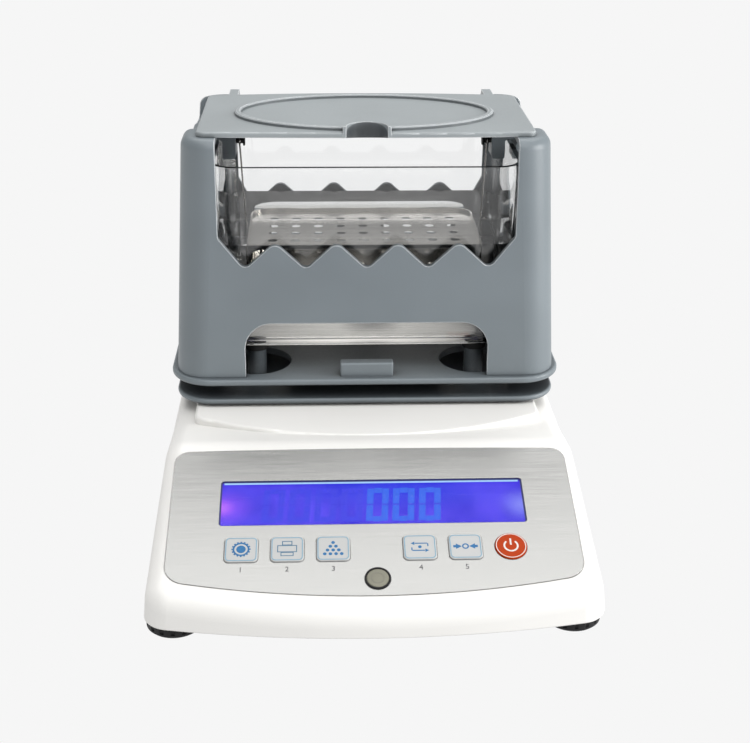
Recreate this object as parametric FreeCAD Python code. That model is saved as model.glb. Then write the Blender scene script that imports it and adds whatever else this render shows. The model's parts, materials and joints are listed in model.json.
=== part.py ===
import FreeCAD, Part

import math
import os

V = FreeCAD.Vector

# Benchtop density meter, in millimetres.
# Frame: X to the right, Y to the back, Z up. The origin is on the bench under the middle of the base.
# The base carries a load cell. The load cell carries a pan, the pan carries a lift-off measuring frame
# with a hinged upper plate and a hanging basket. A water tank stands inside the frame on four posts
# that rise from the base through holes in the pan, so the tank's weight never reaches the load cell.

# ---- Driving dimensions: base housing ----
base_width = 204.0          # at the bottom edge
base_depth = 283.0
base_underside = 11.0       # clear height under the base
side_draft = 4.0            # how much each side leans in over the height of the housing
housing_wall = 2.5
front_corner_radius = 13.0
rear_corner_radius = 26.0
rear_arc_radius = 4000.0    # the rear edge is almost straight
front_arc_radius = 478.0    # the front edge is a shallow arc
panel_slope = 20.3          # degrees
panel_top_from_front = 91.3
panel_top_z = 55.5
crest_from_front = 95.5
deck_z = 50.5               # side shelves and rear of the deck
deck_from_front = 133.5
crest_radius = 18.0
deck_start_radius = 60.0
shoulder_radius = 9.0       # all round the top, from nose to rear
plateau_z = 55.5            # raised seat under the tank stand
plateau_side_inset = 15.0
plateau_corner_reach = 75.0 # in front of the stage's middle
plateau_arch = 23.0
plateau_rear_inset = 15.5
plateau_corner_radius = 6.0
plateau_edge_radius = 1.5

# ---- Bottom cover and feet ----
cover_thickness = 2.5
cover_gap = 0.3
foot_side_inset = 12.5      # of the feet's axes from the edges of the base
foot_front_inset = 30.5
foot_rear_inset = 29.5
foot_diameter = 26.0
foot_height = 8.5
foot_grips = 16
foot_grip_radius = 1.2
foot_edge = 1.0
stud_diameter = 8.0
stud_reach = 11.0           # of the stud above the foot's disc
stud_root = 5.0             # of the stud inside the disc
stud_chamfer = 0.8
insert_diameter = 11.0
insert_height = 9.0
foot_boss_diameter = 17.0
thread_fit = 0.05
screw_diameter = 3.0        # of the screws that close the base; their holes are made, they are not
screw_clearance = 0.2
screw_bite = 7.0            # how far a screw goes into its boss
screw_boss_diameter = 8.0
housing_screw_side_inset = 12.0
housing_screw_front_x = 40.0
housing_screw_front_inset = 19.5
housing_screw_mid_inset = 121.5
housing_screw_rear_inset = 63.5
cover_slot_length = 30.0
cover_slot_width = 3.0
cover_slot_pitch = 9.0
cover_slot_count = 5
cover_slot_from_front = 81.5

# ---- Control panel, measured along the slope from the middle of the display ----
panel_side_inset = 9.5
panel_above_display = 33.0
panel_below_display = 53.0
panel_arc_radius = 455.0    # the lower edge is a shallow arc
panel_top_arc_radius = 4000.0
panel_top_radius = 7.0
panel_bottom_radius = 10.0
overlay_thickness = 0.8
overlay_recess = 0.5
overlay_fit = 0.2
display_length = 140.0
display_height = 26.7
display_corner = 1.5
lens_margin = 2.0
lens_corner = 2.0
lens_fit = 0.3
lens_thickness = 1.5
lcd_thickness = 2.8
backlight_thickness = 4.3
layer_gap = 0.2
board_thickness = 1.6
board_side_inset = 15.5     # behind the panel's sides
board_above_display = 20.0
board_below_display = 33.0
board_post_side_inset = 19.5
board_post_inset = 4.0
board_post_diameter = 6.0
board_screw_diameter = 2.2
board_screw_bite = 6.0
key_row_drop = 27.4
key_inner_x = 19.3
outer_key_edge = 32.4       # of the outer keys' middles, from the panel's sides
key_width = 14.9
key_height = 13.8
controls_shift = 0.8        # of the keys and the vial, to the right
key_corner = 2.2
key_proud = 0.7             # above the overlay
key_cap_thickness = 1.6
key_travel = 0.5
key_fit = 0.2
key_stem = 7.0
key_edge_radius = 0.45
power_key_diameter = 14.4
switch_size = 6.0
switch_height = 3.0
switch_gap = 0.1
vial_drop = 44.0
vial_diameter = 11.5
vial_height = 8.0
vial_wall = 0.7
vial_fit = 0.1
vial_proud = 0.6
vial_glass_drop = 0.1       # below the cup's rim
vial_glass_edge = 0.6

# ---- Load cell and pan ----
stage_from_rear = 79.0      # middle of the pan, frame, tank and load cell
chassis_length = 128.0
chassis_width = 46.0
chassis_thickness = 3.0
chassis_standoff = 3.0
chassis_corner_radius = 4.0
chassis_post_inset = 8.0
chassis_post_diameter = 9.0
cell_length = 80.0
cell_width = 15.0
cell_height = 22.0
cell_spacer = 4.0
cell_end_length = 20.0
cell_bore_diameter = 11.0
cell_bore_spacing = 18.0
stop_gap = 0.4
stop_diameter = 5.0
carrier_width = 34.0
carrier_thickness = 3.0
carrier_corner_radius = 5.0
stem_diameter = 20.0
stem_hole_clearance = 5.0
seat_diameter = 64.0
seat_thickness = 3.0
seat_chamfer = 0.8
pan_side_rim = 3.1          # of the pan outside the frame's foot
pan_end_rim = 3.5
pan_corner_radius = 22.0
pan_thickness = 3.4
pan_edge_radius = 1.3
pan_top_z = 70.5
pan_hole_radius = 17.9
key_block_width = 27.0      # block that locates the measuring frame
key_block_height = 7.4
key_block_depth = 6.0
key_block_inset = 0.2       # behind the foot of the frame's wall
key_block_radius = 1.0

# ---- Tank stand ----
stand_side_inset = 2.5      # inside the pan's edge
stand_end_inset = 0.0
stand_corner_radius = 20.0
stand_thickness = 3.0
stand_edge_radius = 1.3
stand_pad_height = 1.4
stand_pad_diameter = 16.0
post_x = 56.6
post_y = 39.2               # from the middle of the stage
post_diameter = 10.0
post_cap_height = 3.0
post_cap_wall = 1.2
post_cap_edge = 0.8
stand_screw_x = 72.0
stand_screw_y = 45.0
stand_screw_depth = 6.0

# ---- Measuring frame ----
frame_half_width_top = 90.1
frame_half_width_bottom = 96.9
frame_half_depth_top = 55.5
frame_half_depth_bottom = 61.5
frame_corner_radius = 16.0
frame_top_z = 190.5
frame_wall = 2.8
frame_top_radius = 5.0
pillar_width = 17.1         # of a front pillar at the top
rear_pillar_width = 20.6
window_side_z = 143.0
zigzag_peak_z = 140.9       # the zigzag's corners before they are rounded
zigzag_valley_z = 127.2
zigzag_pitch = 30.2
zigzag_peak_radius = 4.5
zigzag_valley_radius = 3.5
zigzag_valleys = 5
lower_opening_half_width = 61.2
lower_opening_top_z = 99.2
lower_opening_radius = 13.5
side_window_half_depth = 38.5
side_window_shift = 9.5     # towards the back
side_window_corner = 4.0
side_beam_top_z = 176.0
side_beam_bottom_z = 166.0
side_zigzag_valleys = 2
bracket_width = 12.0
bracket_top_z = 187.5
bracket_arm_z = 179.0
bracket_tip_z = 169.0
bracket_inner_x = 66.0
bracket_tongue = 7.0
bracket_rim_gap = 2.5       # outside the tank's rim
bracket_root = 3.5          # thickness where it meets the side beam
bracket_bite = 1.2          # into the side wall
hook_pin_diameter = 3.0
hook_pin_reach = 3.6
hook_head_diameter = 5.4
hook_head_thickness = 1.0
hook_head_edge = 0.4
hook_pin_root = 3.0
hook_z = 177.5

# ---- Upper plate ----
lid_width = 165.0
lid_front_reach = 47.0      # in front of the stage's middle
lid_depth = 84.3
lid_front_arc_radius = 1700.0
lid_rear_arc_radius = 600.0
lid_thickness = 2.5
lid_corner_radius = 4.0
lid_edge_radius = 0.9
ring_half_length = 65.9
ring_half_depth = 39.2
ring_shift = 5.8            # in front of the stage's middle
ring_width = 3.2
ring_height = 1.8
ring_edge = 0.6
notch_radius = 10.0
notch_wall = 1.7
notch_rise = 3.2
notch_drop = 2.6            # of the collar's lower edge at the back of the notch
notch_edge_radius = 0.7
hinge_x = 69.0
hinge_arm_width = 5.0
hinge_arm_bite = 4.0        # of the arm over the plate's edge
hinge_reach = 52.5          # behind the stage's middle
hinge_drop = 2.0            # below the plate
hinge_pin_diameter = 2.5
hinge_knuckle_diameter = 5.2
hinge_fit = 0.06
hinge_side_gap = 0.5
hinge_lug_width = 4.5
hinge_lug_wall = 1.0        # in front of the pin's knuckle
hinge_lug_drop = 0.3        # below the frame's top
hinge_notch_depth = 10.0

# ---- Water tank ----
tank_bottom_z = 82.5
tank_length = 155.0
tank_depth = 103.0
tank_rim_z = 176.5
tank_draft = 1.5
tank_wall = 2.5
tank_floor = 3.0
tank_corner_radius = 14.0
tank_foot_radius = 3.0
tank_inner_radius = 2.0

# ---- Hanging basket ----
basket_length = 122.0
basket_depth = 78.0
basket_floor_z = 108.0
basket_sheet = 1.0
basket_rim = 6.0
basket_corner_radius = 10.0
basket_edge_radius = 1.8
basket_hole_diameter = 5.0
basket_hole_pitch = 12.0
basket_hole_columns = 9
basket_hole_rows = 5
wire_diameter = 0.9
wire_bend_height = 4.0      # above the tray's rim
wire_end_height = 2.5       # above the tray's underside
eye_clearance = 0.25        # between the eye and the hook pin
eye_gap = 0.05              # over the pin's top

# ---- Electronics at the back ----
main_board_length = 120.0
main_board_width = 40.0
main_board_inset_y = 33.5   # of its middle from the rear edge
main_board_standoff = 5.0
main_board_inset = 5.0      # of its posts from its corners
main_board_post_diameter = 7.0
inlet_x = -62.0
inlet_width = 9.0
inlet_height = 11.0
inlet_depth = 13.0
inlet_sunk = 0.5            # behind the rear wall's face
inlet_back = 3.0            # behind the bore
inlet_bore = 5.6
inlet_pin = 2.0
inlet_pin_sunk = 2.5
port_x = 34.0
port_width = 31.0
port_height = 12.5
port_flange_sunk = 1.7      # behind the rear wall's face
port_flange_thickness = 1.3
port_shell_width = 17.0
port_shell_slant = 1.0
port_shell_height = 8.5
port_shell_radius = 2.0
port_shell_depth = 8.0
port_shell_sunk = 0.2
port_pin_hole = 1.2
port_pin_pitch = 2.77
port_row_offset = 1.42
port_nut_diameter = 4.8
port_nut_x = 12.5
port_z = 30.0

# ---- Values worked out from the dimensions above ----
slope_tan = math.tan(math.radians(panel_slope))
slope_cos = math.cos(math.radians(panel_slope))
slope_sin = math.sin(math.radians(panel_slope))
front_y = -base_depth / 2.0
rear_y = base_depth / 2.0
half_base = base_width / 2.0
panel_top_y = front_y + panel_top_from_front
panel_width = base_width - 2 * panel_side_inset
crest_y = front_y + crest_from_front
deck_start_y = front_y + deck_from_front
stage_y = rear_y - stage_from_rear
plateau_half_width = half_base - plateau_side_inset
plateau_corner_y = stage_y - plateau_corner_reach
plateau_front_y = plateau_corner_y - plateau_arch
plateau_rear_y = rear_y - plateau_rear_inset
foot_x = half_base - foot_side_inset
foot_front_y = front_y + foot_front_inset
foot_rear_y = rear_y - foot_rear_inset
housing_screw_x = half_base - housing_screw_side_inset
housing_screw_front_y = front_y + housing_screw_front_inset
housing_screw_mid_y = front_y + housing_screw_mid_inset
housing_screw_rear_y = rear_y - housing_screw_rear_inset
main_board_y = rear_y - main_board_inset_y
crest_z = panel_top_z + slope_tan * (crest_y - panel_top_y)
display_y = panel_top_y - panel_above_display * slope_cos
display_z = panel_top_z - panel_above_display * slope_sin
cover_top_z = base_underside + cover_thickness
chassis_z = cover_top_z + chassis_standoff
cell_z = chassis_z + chassis_thickness + cell_spacer
carrier_z = cell_z + cell_height + cell_spacer
pan_bottom_z = pan_top_z - pan_thickness
seat_z = pan_bottom_z - seat_thickness
stand_bottom_z = plateau_z + stand_pad_height
stand_top_z = stand_bottom_z + stand_thickness
pan_half_width = frame_half_width_bottom + pan_side_rim
pan_half_depth = frame_half_depth_bottom + pan_end_rim
stand_half_width = pan_half_width - stand_side_inset
stand_half_depth = pan_half_depth - stand_end_inset
window_half_width = frame_half_width_top - pillar_width
rear_window_half_width = frame_half_width_top - rear_pillar_width
outer_key_x = panel_width / 2.0 - outer_key_edge
key_pitch = (outer_key_x - key_inner_x) / 2.0
power_key_x = controls_shift + outer_key_x
board_length = panel_width - 2 * board_side_inset
board_post_x = panel_width / 2.0 - board_post_side_inset
lid_z = frame_top_z
lid_front_y = stage_y - lid_front_reach
ring_centre_y = stage_y - ring_shift
hinge_y = stage_y + hinge_reach
hinge_z = lid_z - hinge_drop
lid_front_bow = (lid_width / 2.0) ** 2 / (2.0 * lid_front_arc_radius)
lid_rear_bow = (lid_width / 2.0) ** 2 / (2.0 * lid_rear_arc_radius)
hook_x = bracket_inner_x
FOOT_PLACES = {
    "front_left": (-foot_x, foot_front_y),
    "front_right": (foot_x, foot_front_y),
    "rear_left": (-foot_x, foot_rear_y),
    "rear_right": (foot_x, foot_rear_y),
}
KEY_PLACES = {
    "set_key": controls_shift - key_inner_x - 2 * key_pitch,
    "print_key": controls_shift - key_inner_x - key_pitch,
    "enter_key": controls_shift - key_inner_x,
    "mode_key": controls_shift + key_inner_x,
    "zero_key": controls_shift + key_inner_x + key_pitch,
}


# ---- Helpers ----
def box(x0, x1, y0, y1, z0, z1):
    """A block between two corners."""
    return Part.makeBox(x1 - x0, y1 - y0, z1 - z0, V(x0, y0, z0))


def rod(radius, start, end):
    """A round bar from one point to another."""
    run = V(*end) - V(*start)
    return Part.makeCylinder(radius, run.Length, V(*start), run)


def fused(shapes):
    """One solid from shapes that touch or overlap."""
    whole = shapes[0].multiFuse(shapes[1:]) if len(shapes) > 1 else shapes[0]
    return whole.removeSplitter()


def rounded_wire(corners):
    """A closed wire through corners (x, y, radius), each rounded with its own radius."""
    count = len(corners)
    edges, ends = [], []
    for i in range(count):
        here = V(corners[i][0], corners[i][1], 0)
        back = (V(corners[i - 1][0], corners[i - 1][1], 0) - here).normalize()
        ahead_corner = corners[(i + 1) % count]
        ahead = (V(ahead_corner[0], ahead_corner[1], 0) - here).normalize()
        radius = corners[i][2]
        half = back.getAngle(ahead) / 2.0
        if radius <= 0 or abs(half - math.pi / 2) < 1e-6:
            ends.append((here, here))
            edges.append(None)
            continue
        setback = radius / math.tan(half)
        start, end = here + back * setback, here + ahead * setback
        middle_line = (back + ahead).normalize()
        middle = here + middle_line * (radius / math.sin(half) - radius)
        ends.append((start, end))
        edges.append(Part.Arc(start, middle, end).toShape())
    outline = []
    for i in range(count):
        if edges[i] is not None:
            outline.append(edges[i])
        leave, arrive = ends[i][1], ends[(i + 1) % count][0]
        if leave.distanceToPoint(arrive) > 1e-6:
            outline.append(Part.LineSegment(leave, arrive).toShape())
    return Part.Wire(outline)


def rounded_rectangle(half_x, half_y, radius, centre=(0.0, 0.0), z=0.0):
    """A wire around a rectangle with round corners."""
    corners = [(sx * half_x, sy * half_y, radius) for sx, sy in ((-1, -1), (1, -1), (1, 1), (-1, 1))]
    wire = rounded_wire(corners)
    wire.translate(V(centre[0], centre[1], z))
    return wire


def bowed_corner(half_width, edge_y, arc_radius, radius, outward):
    """Where the right-hand corner leaves a bowed edge, its middle, and where it meets the side."""
    centre_y = edge_y - outward * arc_radius
    x = half_width - radius
    reach = arc_radius - radius
    y = centre_y + outward * math.sqrt(reach ** 2 - x ** 2)
    middle = V(x, y, 0)
    leave = V(0, centre_y, 0) + (middle - V(0, centre_y, 0)) * (arc_radius / reach)
    arrive = V(half_width, y, 0)
    half_way = middle + ((leave - middle) + (arrive - middle)).normalize() * radius
    return leave, half_way, arrive


def bowed_outline(half_width, near, far, arcs, radii, z):
    """Straight sides, a near and a far edge that are shallow arcs, and round corners."""
    near_points = bowed_corner(half_width, near, arcs[0], radii[0], -1)
    far_points = bowed_corner(half_width, far, arcs[1], radii[1], 1)

    def left(point):
        return V(-point.x, point.y, 0)

    near_leave, near_middle, near_arrive = near_points
    far_leave, far_middle, far_arrive = far_points
    wire = Part.Wire([
        Part.Arc(left(near_leave), V(0, near, 0), near_leave).toShape(),
        Part.Arc(near_leave, near_middle, near_arrive).toShape(),
        Part.LineSegment(near_arrive, far_arrive).toShape(),
        Part.Arc(far_arrive, far_middle, far_leave).toShape(),
        Part.Arc(far_leave, V(0, far, 0), left(far_leave)).toShape(),
        Part.Arc(left(far_leave), left(far_middle), left(far_arrive)).toShape(),
        Part.LineSegment(left(far_arrive), left(near_arrive)).toShape(),
        Part.Arc(left(near_arrive), left(near_middle), left(near_leave)).toShape(),
    ])
    wire.translate(V(0, 0, z))
    return wire


def prism(wire, height):
    """The wire's area pushed up by height."""
    return Part.Face(wire).extrude(V(0, 0, height))


def filleted(shape, radius, wanted):
    """The shape with the edges that wanted(edge) picks rounded."""
    return shape.makeFillet(radius, [edge for edge in shape.Edges if wanted(edge)])


def middle_of(edge):
    """The point half way along an edge."""
    return edge.valueAt((edge.FirstParameter + edge.LastParameter) / 2.0)


def level(edge, z, slack=0.01):
    """True for an edge that lies wholly at height z."""
    bounds = edge.BoundBox
    return abs(bounds.ZMin - z) < slack and abs(bounds.ZMax - z) < slack


def on_panel(shape):
    """A shape drawn on the panel (x, up the slope, out of the panel) moved onto the housing."""
    placed = shape.copy()
    placed.rotate(V(0, 0, 0), V(1, 0, 0), panel_slope)
    placed.translate(V(0, display_y, display_z))
    return placed


def mirrored_x(shape):
    """The shape's mirror image on the other side of the middle."""
    return shape.mirror(V(0, 0, 0), V(1, 0, 0))


def mirrored_stage(shape):
    """The shape's mirror image across the stage, front to back."""
    return shape.mirror(V(0, stage_y, 0), V(0, 1, 0))


# ---- Base housing ----
def housing_plan(half_width, inset, z):
    """The base's outline at one height."""
    arcs = (front_arc_radius - inset, rear_arc_radius - inset)
    radii = (front_corner_radius - inset, rear_corner_radius - inset)
    return bowed_outline(half_width - inset, front_y + inset, rear_y - inset, arcs, radii, z)


def housing_body(inset):
    """The base's outer form with round shoulders, or the hollow inside it when inset is the wall."""
    floor = base_underside if inset == 0 else base_underside - 1.0
    top = crest_z + 6.0
    draft_per_mm = side_draft / (deck_z - base_underside)
    half_floor = half_base - draft_per_mm * (floor - base_underside)
    half_top = half_base - draft_per_mm * (top - base_underside)
    walls = Part.makeLoft([housing_plan(half_floor, inset, floor), housing_plan(half_top, inset, top)], True)
    drop = inset / slope_cos
    beyond = 20.0
    front = front_y - beyond
    side_view = rounded_wire([
        (front, floor, 0),
        (rear_y + beyond, floor, 0),
        (rear_y + beyond, deck_z - inset, 0),
        (deck_start_y, deck_z - inset, deck_start_radius),
        (crest_y, crest_z - drop, crest_radius - inset),
        (front, crest_z - drop + slope_tan * (front - crest_y), 0),
    ])
    side_view.rotate(V(0, 0, 0), V(1, 1, 1), 120)
    slab = Part.Face(side_view).extrude(V(2 * half_base + 2 * beyond, 0, 0))
    slab.translate(V(-half_base - beyond, 0, 0))
    body = walls.common(slab)

    def around_top(edge):
        point = middle_of(edge)
        across = abs(point.x) < 1.0 and front_y + 5.0 < point.y < rear_y - 5.0
        return edge.BoundBox.ZMin > floor + 1.0 and not across

    return filleted(body, shoulder_radius - inset, around_top)


def plateau():
    """The raised seat on the deck, with an arched front edge."""
    bottom = deck_z - housing_wall
    corner_left = V(-plateau_half_width, plateau_corner_y, 0)
    corner_right = V(plateau_half_width, plateau_corner_y, 0)
    rear_left = V(-plateau_half_width, plateau_rear_y, 0)
    rear_right = V(plateau_half_width, plateau_rear_y, 0)
    outline = Part.Wire([
        Part.Arc(corner_left, V(0, plateau_front_y, 0), corner_right).toShape(),
        Part.LineSegment(corner_right, rear_right).toShape(),
        Part.LineSegment(rear_right, rear_left).toShape(),
        Part.LineSegment(rear_left, corner_left).toShape(),
    ])
    outline.translate(V(0, 0, bottom))
    block = prism(outline, plateau_z - bottom)
    block = filleted(block, plateau_corner_radius, lambda e: e.BoundBox.ZLength > 1.0)
    return filleted(block, plateau_edge_radius, lambda e: level(e, plateau_z))


def boss_column(x, y, diameter):
    """An upright post that reaches from the cover to the housing's inside."""
    return rod(diameter / 2.0, (x, y, cover_top_z), (x, y, crest_z + 5.0))


def housing_screw_places():
    """Where the screws from below hold the two halves of the base together."""
    places = []
    for side in (-1, 1):
        places.append((side * housing_screw_front_x, housing_screw_front_y))
        places.append((side * housing_screw_x, housing_screw_mid_y))
        places.append((side * housing_screw_x, housing_screw_rear_y))
    return places


def panel_outline(grow, lift):
    """The panel's outline on the slope, larger by grow."""
    arcs = (panel_arc_radius + grow, panel_top_arc_radius + grow)
    radii = (panel_bottom_radius + grow, panel_top_radius + grow)
    return bowed_outline(panel_width / 2 + grow, -panel_below_display - grow, panel_above_display + grow,
                         arcs, radii, lift)


def key_hole(x, grow, z0, z1):
    """A key's own outline as a tool, larger by grow."""
    outline = rounded_rectangle(key_width / 2 + grow, key_height / 2 + grow, key_corner + grow,
                                (x, -key_row_drop), z0)
    return prism(outline, z1 - z0)


def power_hole(grow, z0, z1):
    """The round key's outline as a tool."""
    radius = power_key_diameter / 2 + grow
    return rod(radius, (power_key_x, -key_row_drop, z0), (power_key_x, -key_row_drop, z1))


def panel_cuts():
    """What is cut out of the housing under the panel: recess, display, keys and vial."""
    pocket = -overlay_recess - key_cap_thickness
    deep = -housing_wall - 6.0
    cuts = [prism(panel_outline(overlay_fit, -overlay_recess), 6.0)]
    half_x = display_length / 2 + lens_margin + lens_fit
    half_y = display_height / 2 + lens_margin + lens_fit
    cuts.append(prism(rounded_rectangle(half_x, half_y, lens_corner, (0, 0), deep), -deep + 1.0))
    for x in KEY_PLACES.values():
        cuts.append(key_hole(x, key_fit, pocket, 1.0))
        stem = key_stem / 2 + key_fit
        cuts.append(box(x - stem, x + stem, -key_row_drop - stem, -key_row_drop + stem, deep, 1.0))
    cuts.append(power_hole(key_fit, pocket, 1.0))
    stem_radius = key_stem / 2 + key_fit
    cuts.append(rod(stem_radius, (power_key_x, -key_row_drop, deep), (power_key_x, -key_row_drop, 1.0)))
    vial_radius = vial_diameter / 2 + vial_fit
    cuts.append(rod(vial_radius, (controls_shift, -vial_drop, deep), (controls_shift, -vial_drop, 1.0)))
    return [on_panel(cut) for cut in cuts]


def board_post_places():
    """The display board's four fixing points on the panel."""
    low = -board_below_display + board_post_inset
    high = board_above_display - board_post_inset
    return [(sx * board_post_x, y) for sx in (-1, 1) for y in (low, high)]


def board_top():
    """Height of the display board's upper face, measured out of the panel."""
    stack = lens_thickness + lcd_thickness + backlight_thickness + 3 * layer_gap
    return -overlay_recess - stack


def upper_housing():
    """The white shell: sloped front, deck with its raised seat, posts and openings."""
    outer = fused([housing_body(0), plateau()])
    hollow = housing_body(housing_wall)
    seat_hollow = box(-plateau_half_width + housing_wall, plateau_half_width - housing_wall,
                      plateau_corner_y + 10, plateau_rear_y - housing_wall,
                      base_underside, plateau_z - housing_wall)
    shell = outer.cut(hollow).cut(seat_hollow)
    posts = [boss_column(x, y, screw_boss_diameter) for x, y in housing_screw_places()]
    for x, y in board_post_places():
        posts.append(on_panel(rod(board_post_diameter / 2, (x, y, board_top()), (x, y, -overlay_recess))))
    posts = [post.common(outer) for post in posts]
    shell = fused([shell] + posts)
    cuts = panel_cuts()
    for x, y in housing_screw_places():
        cuts.append(rod(screw_diameter / 2, (x, y, cover_top_z - 1), (x, y, cover_top_z + screw_bite)))
    for x, y in board_post_places():
        top = board_top()
        cuts.append(on_panel(rod(board_screw_diameter / 2, (x, y, top - 1), (x, y, top + board_screw_bite))))
    hole = stem_diameter / 2 + stem_hole_clearance
    cuts.append(rod(hole, (0, stage_y, carrier_z - 10), (0, stage_y, plateau_z + 5)))
    for sx in (-1, 1):
        for sy in (-1, 1):
            x, y = sx * stand_screw_x, stage_y + sy * stand_screw_y
            cuts.append(rod(screw_diameter / 2, (x, y, plateau_z - stand_screw_depth), (x, y, plateau_z + 1)))
    wall_y = rear_y - housing_wall
    cuts.append(box(inlet_x - inlet_width / 2, inlet_x + inlet_width / 2, wall_y - 2, rear_y + 2,
                    port_z - inlet_height / 2, port_z + inlet_height / 2))
    cuts.append(box(port_x - port_width / 2, port_x + port_width / 2, wall_y - 2, rear_y + 2,
                    port_z - port_height / 2, port_z + port_height / 2))
    return shell.cut(Part.makeCompound(cuts))


def foot_bosses():
    """Round bosses in the bottom cover that hold the threaded inserts."""
    return [rod(foot_boss_diameter / 2, (x, y, base_underside), (x, y, cover_top_z + insert_height))
            for x, y in FOOT_PLACES.values()]


def bottom_cover():
    """The plate that closes the base from below."""
    inset = housing_wall + cover_gap
    plate = prism(housing_plan(half_base, inset, base_underside), cover_thickness)
    standoffs = []
    for sx in (-1, 1):
        for sy in (-1, 1):
            x = sx * (chassis_length / 2 - chassis_post_inset)
            y = stage_y + sy * (chassis_width / 2 - chassis_post_inset)
            standoffs.append(rod(chassis_post_diameter / 2, (x, y, base_underside), (x, y, chassis_z)))
    board_z = cover_top_z + main_board_standoff
    for sx in (-1, 1):
        for sy in (-1, 1):
            x = sx * (main_board_length / 2 - main_board_inset)
            y = main_board_y + sy * (main_board_width / 2 - main_board_inset)
            standoffs.append(rod(main_board_post_diameter / 2, (x, y, base_underside), (x, y, board_z)))
    cover = fused([plate] + foot_bosses() + standoffs)
    cuts = []
    for x, y in FOOT_PLACES.values():
        insert_top = cover_top_z + insert_height
        cuts.append(rod(insert_diameter / 2, (x, y, base_underside - 1), (x, y, insert_top + 1)))
    for x, y in housing_screw_places():
        hole = screw_diameter / 2 + screw_clearance
        cuts.append(rod(hole, (x, y, base_underside - 1), (x, y, cover_top_z + 1)))
    for i in range(cover_slot_count):
        y = front_y + cover_slot_from_front + i * cover_slot_pitch
        half_x, half_y = cover_slot_length / 2, cover_slot_width / 2
        slot = rounded_rectangle(half_x, half_y, half_y - 0.01, (0, y), base_underside - 1)
        cuts.append(prism(slot, cover_thickness + 2))
    return cover.cut(Part.makeCompound(cuts))


def foot_inserts():
    """Brass threaded inserts for the four levelling feet."""
    inserts = []
    bore = stud_diameter / 2 + thread_fit
    for x, y in FOOT_PLACES.values():
        top = cover_top_z + insert_height
        sleeve = rod(insert_diameter / 2, (x, y, base_underside), (x, y, top))
        inserts.append(sleeve.cut(rod(bore, (x, y, base_underside - 1), (x, y, top + 1))))
    return Part.makeCompound(inserts)


def foot(name):
    """One levelling foot: a gripped black disc with a soft sole."""
    x, y = FOOT_PLACES[name]
    disc = rod(foot_diameter / 2, (x, y, 0), (x, y, foot_height))
    disc = disc.makeChamfer(foot_edge, [e for e in disc.Edges if level(e, 0) or level(e, foot_height)])
    grips = []
    for i in range(foot_grips):
        angle = 2 * math.pi * i / foot_grips
        gx = x + (foot_diameter / 2 + foot_grip_radius / 2) * math.cos(angle)
        gy = y + (foot_diameter / 2 + foot_grip_radius / 2) * math.sin(angle)
        grips.append(rod(foot_grip_radius, (gx, gy, foot_edge * 2), (gx, gy, foot_height + 1)))
    disc = disc.cut(Part.makeCompound(grips))
    return disc.cut(rod(stud_diameter / 2, (x, y, foot_height - stud_root), (x, y, foot_height + 1)))


def foot_stud(name):
    """The foot's threaded stud, moulded into the disc."""
    x, y = FOOT_PLACES[name]
    top = foot_height + stud_reach
    stud = rod(stud_diameter / 2, (x, y, foot_height - stud_root), (x, y, top))
    return stud.makeChamfer(stud_chamfer, [e for e in stud.Edges if level(e, top)])


# ---- Control panel ----
def front_panel():
    """The brushed panel with its display window, key openings and vial hole."""
    sheet = prism(panel_outline(0, -overlay_recess), overlay_thickness)
    window = rounded_rectangle(display_length / 2, display_height / 2, display_corner, (0, 0), -2)
    cuts = [prism(window, 4)]
    cuts += [key_hole(x, key_fit, -2, 2) for x in KEY_PLACES.values()]
    cuts.append(power_hole(key_fit, -2, 2))
    vial_radius = vial_diameter / 2 + vial_fit
    cuts.append(rod(vial_radius, (controls_shift, -vial_drop, -2), (controls_shift, -vial_drop, 2)))
    return on_panel(sheet.cut(Part.makeCompound(cuts)))


def display_layer(half_x, half_y, top, thickness):
    """One sheet of the display's stack."""
    return on_panel(box(-half_x, half_x, -half_y, half_y, top - thickness, top))


def display_lens():
    """The clear window, held against the back of the panel."""
    half_x = display_length / 2 + lens_margin
    half_y = display_height / 2 + lens_margin
    return display_layer(half_x, half_y, -overlay_recess, lens_thickness)


def lcd_panel():
    """The liquid-crystal glass under the window."""
    top = -overlay_recess - lens_thickness - layer_gap
    half_x = display_length / 2 + lens_margin
    half_y = display_height / 2 + lens_margin
    return display_layer(half_x, half_y, top, lcd_thickness)


def lcd_backlight():
    """The light guide behind the liquid-crystal glass."""
    top = -overlay_recess - lens_thickness - lcd_thickness - 2 * layer_gap
    half_x = display_length / 2 + lens_margin
    half_y = display_height / 2 + lens_margin
    return display_layer(half_x, half_y, top, backlight_thickness)


def display_board():
    """The circuit board behind the display and keys."""
    top = board_top()
    board = box(-board_length / 2, board_length / 2, -board_below_display, board_above_display,
                top - board_thickness, top)
    hole = board_screw_diameter / 2 + screw_clearance
    holes = [rod(hole, (x, y, top - 5), (x, y, top + 5)) for x, y in board_post_places()]
    return on_panel(board.cut(Part.makeCompound(holes)))


def stem_foot():
    """Height of a key stem's lower end at rest, measured out of the panel."""
    return board_top() + switch_height + key_travel + switch_gap


def key_switches():
    """Six short-travel switches on the display board."""
    top = board_top()
    half = switch_size / 2
    switches = []
    for x in list(KEY_PLACES.values()) + [power_key_x]:
        body = box(x - half, x + half, -key_row_drop - half, -key_row_drop + half, top, top + switch_height)
        switches.append(on_panel(body))
    return Part.makeCompound(switches)


def key_cap_top():
    """Height of a key's face, measured out of the panel."""
    return overlay_thickness - overlay_recess + key_proud


def softened_cap(cap, top):
    """A key cap with its upper edge rounded."""
    return filleted(cap, key_edge_radius, lambda e: level(e, top))


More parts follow.
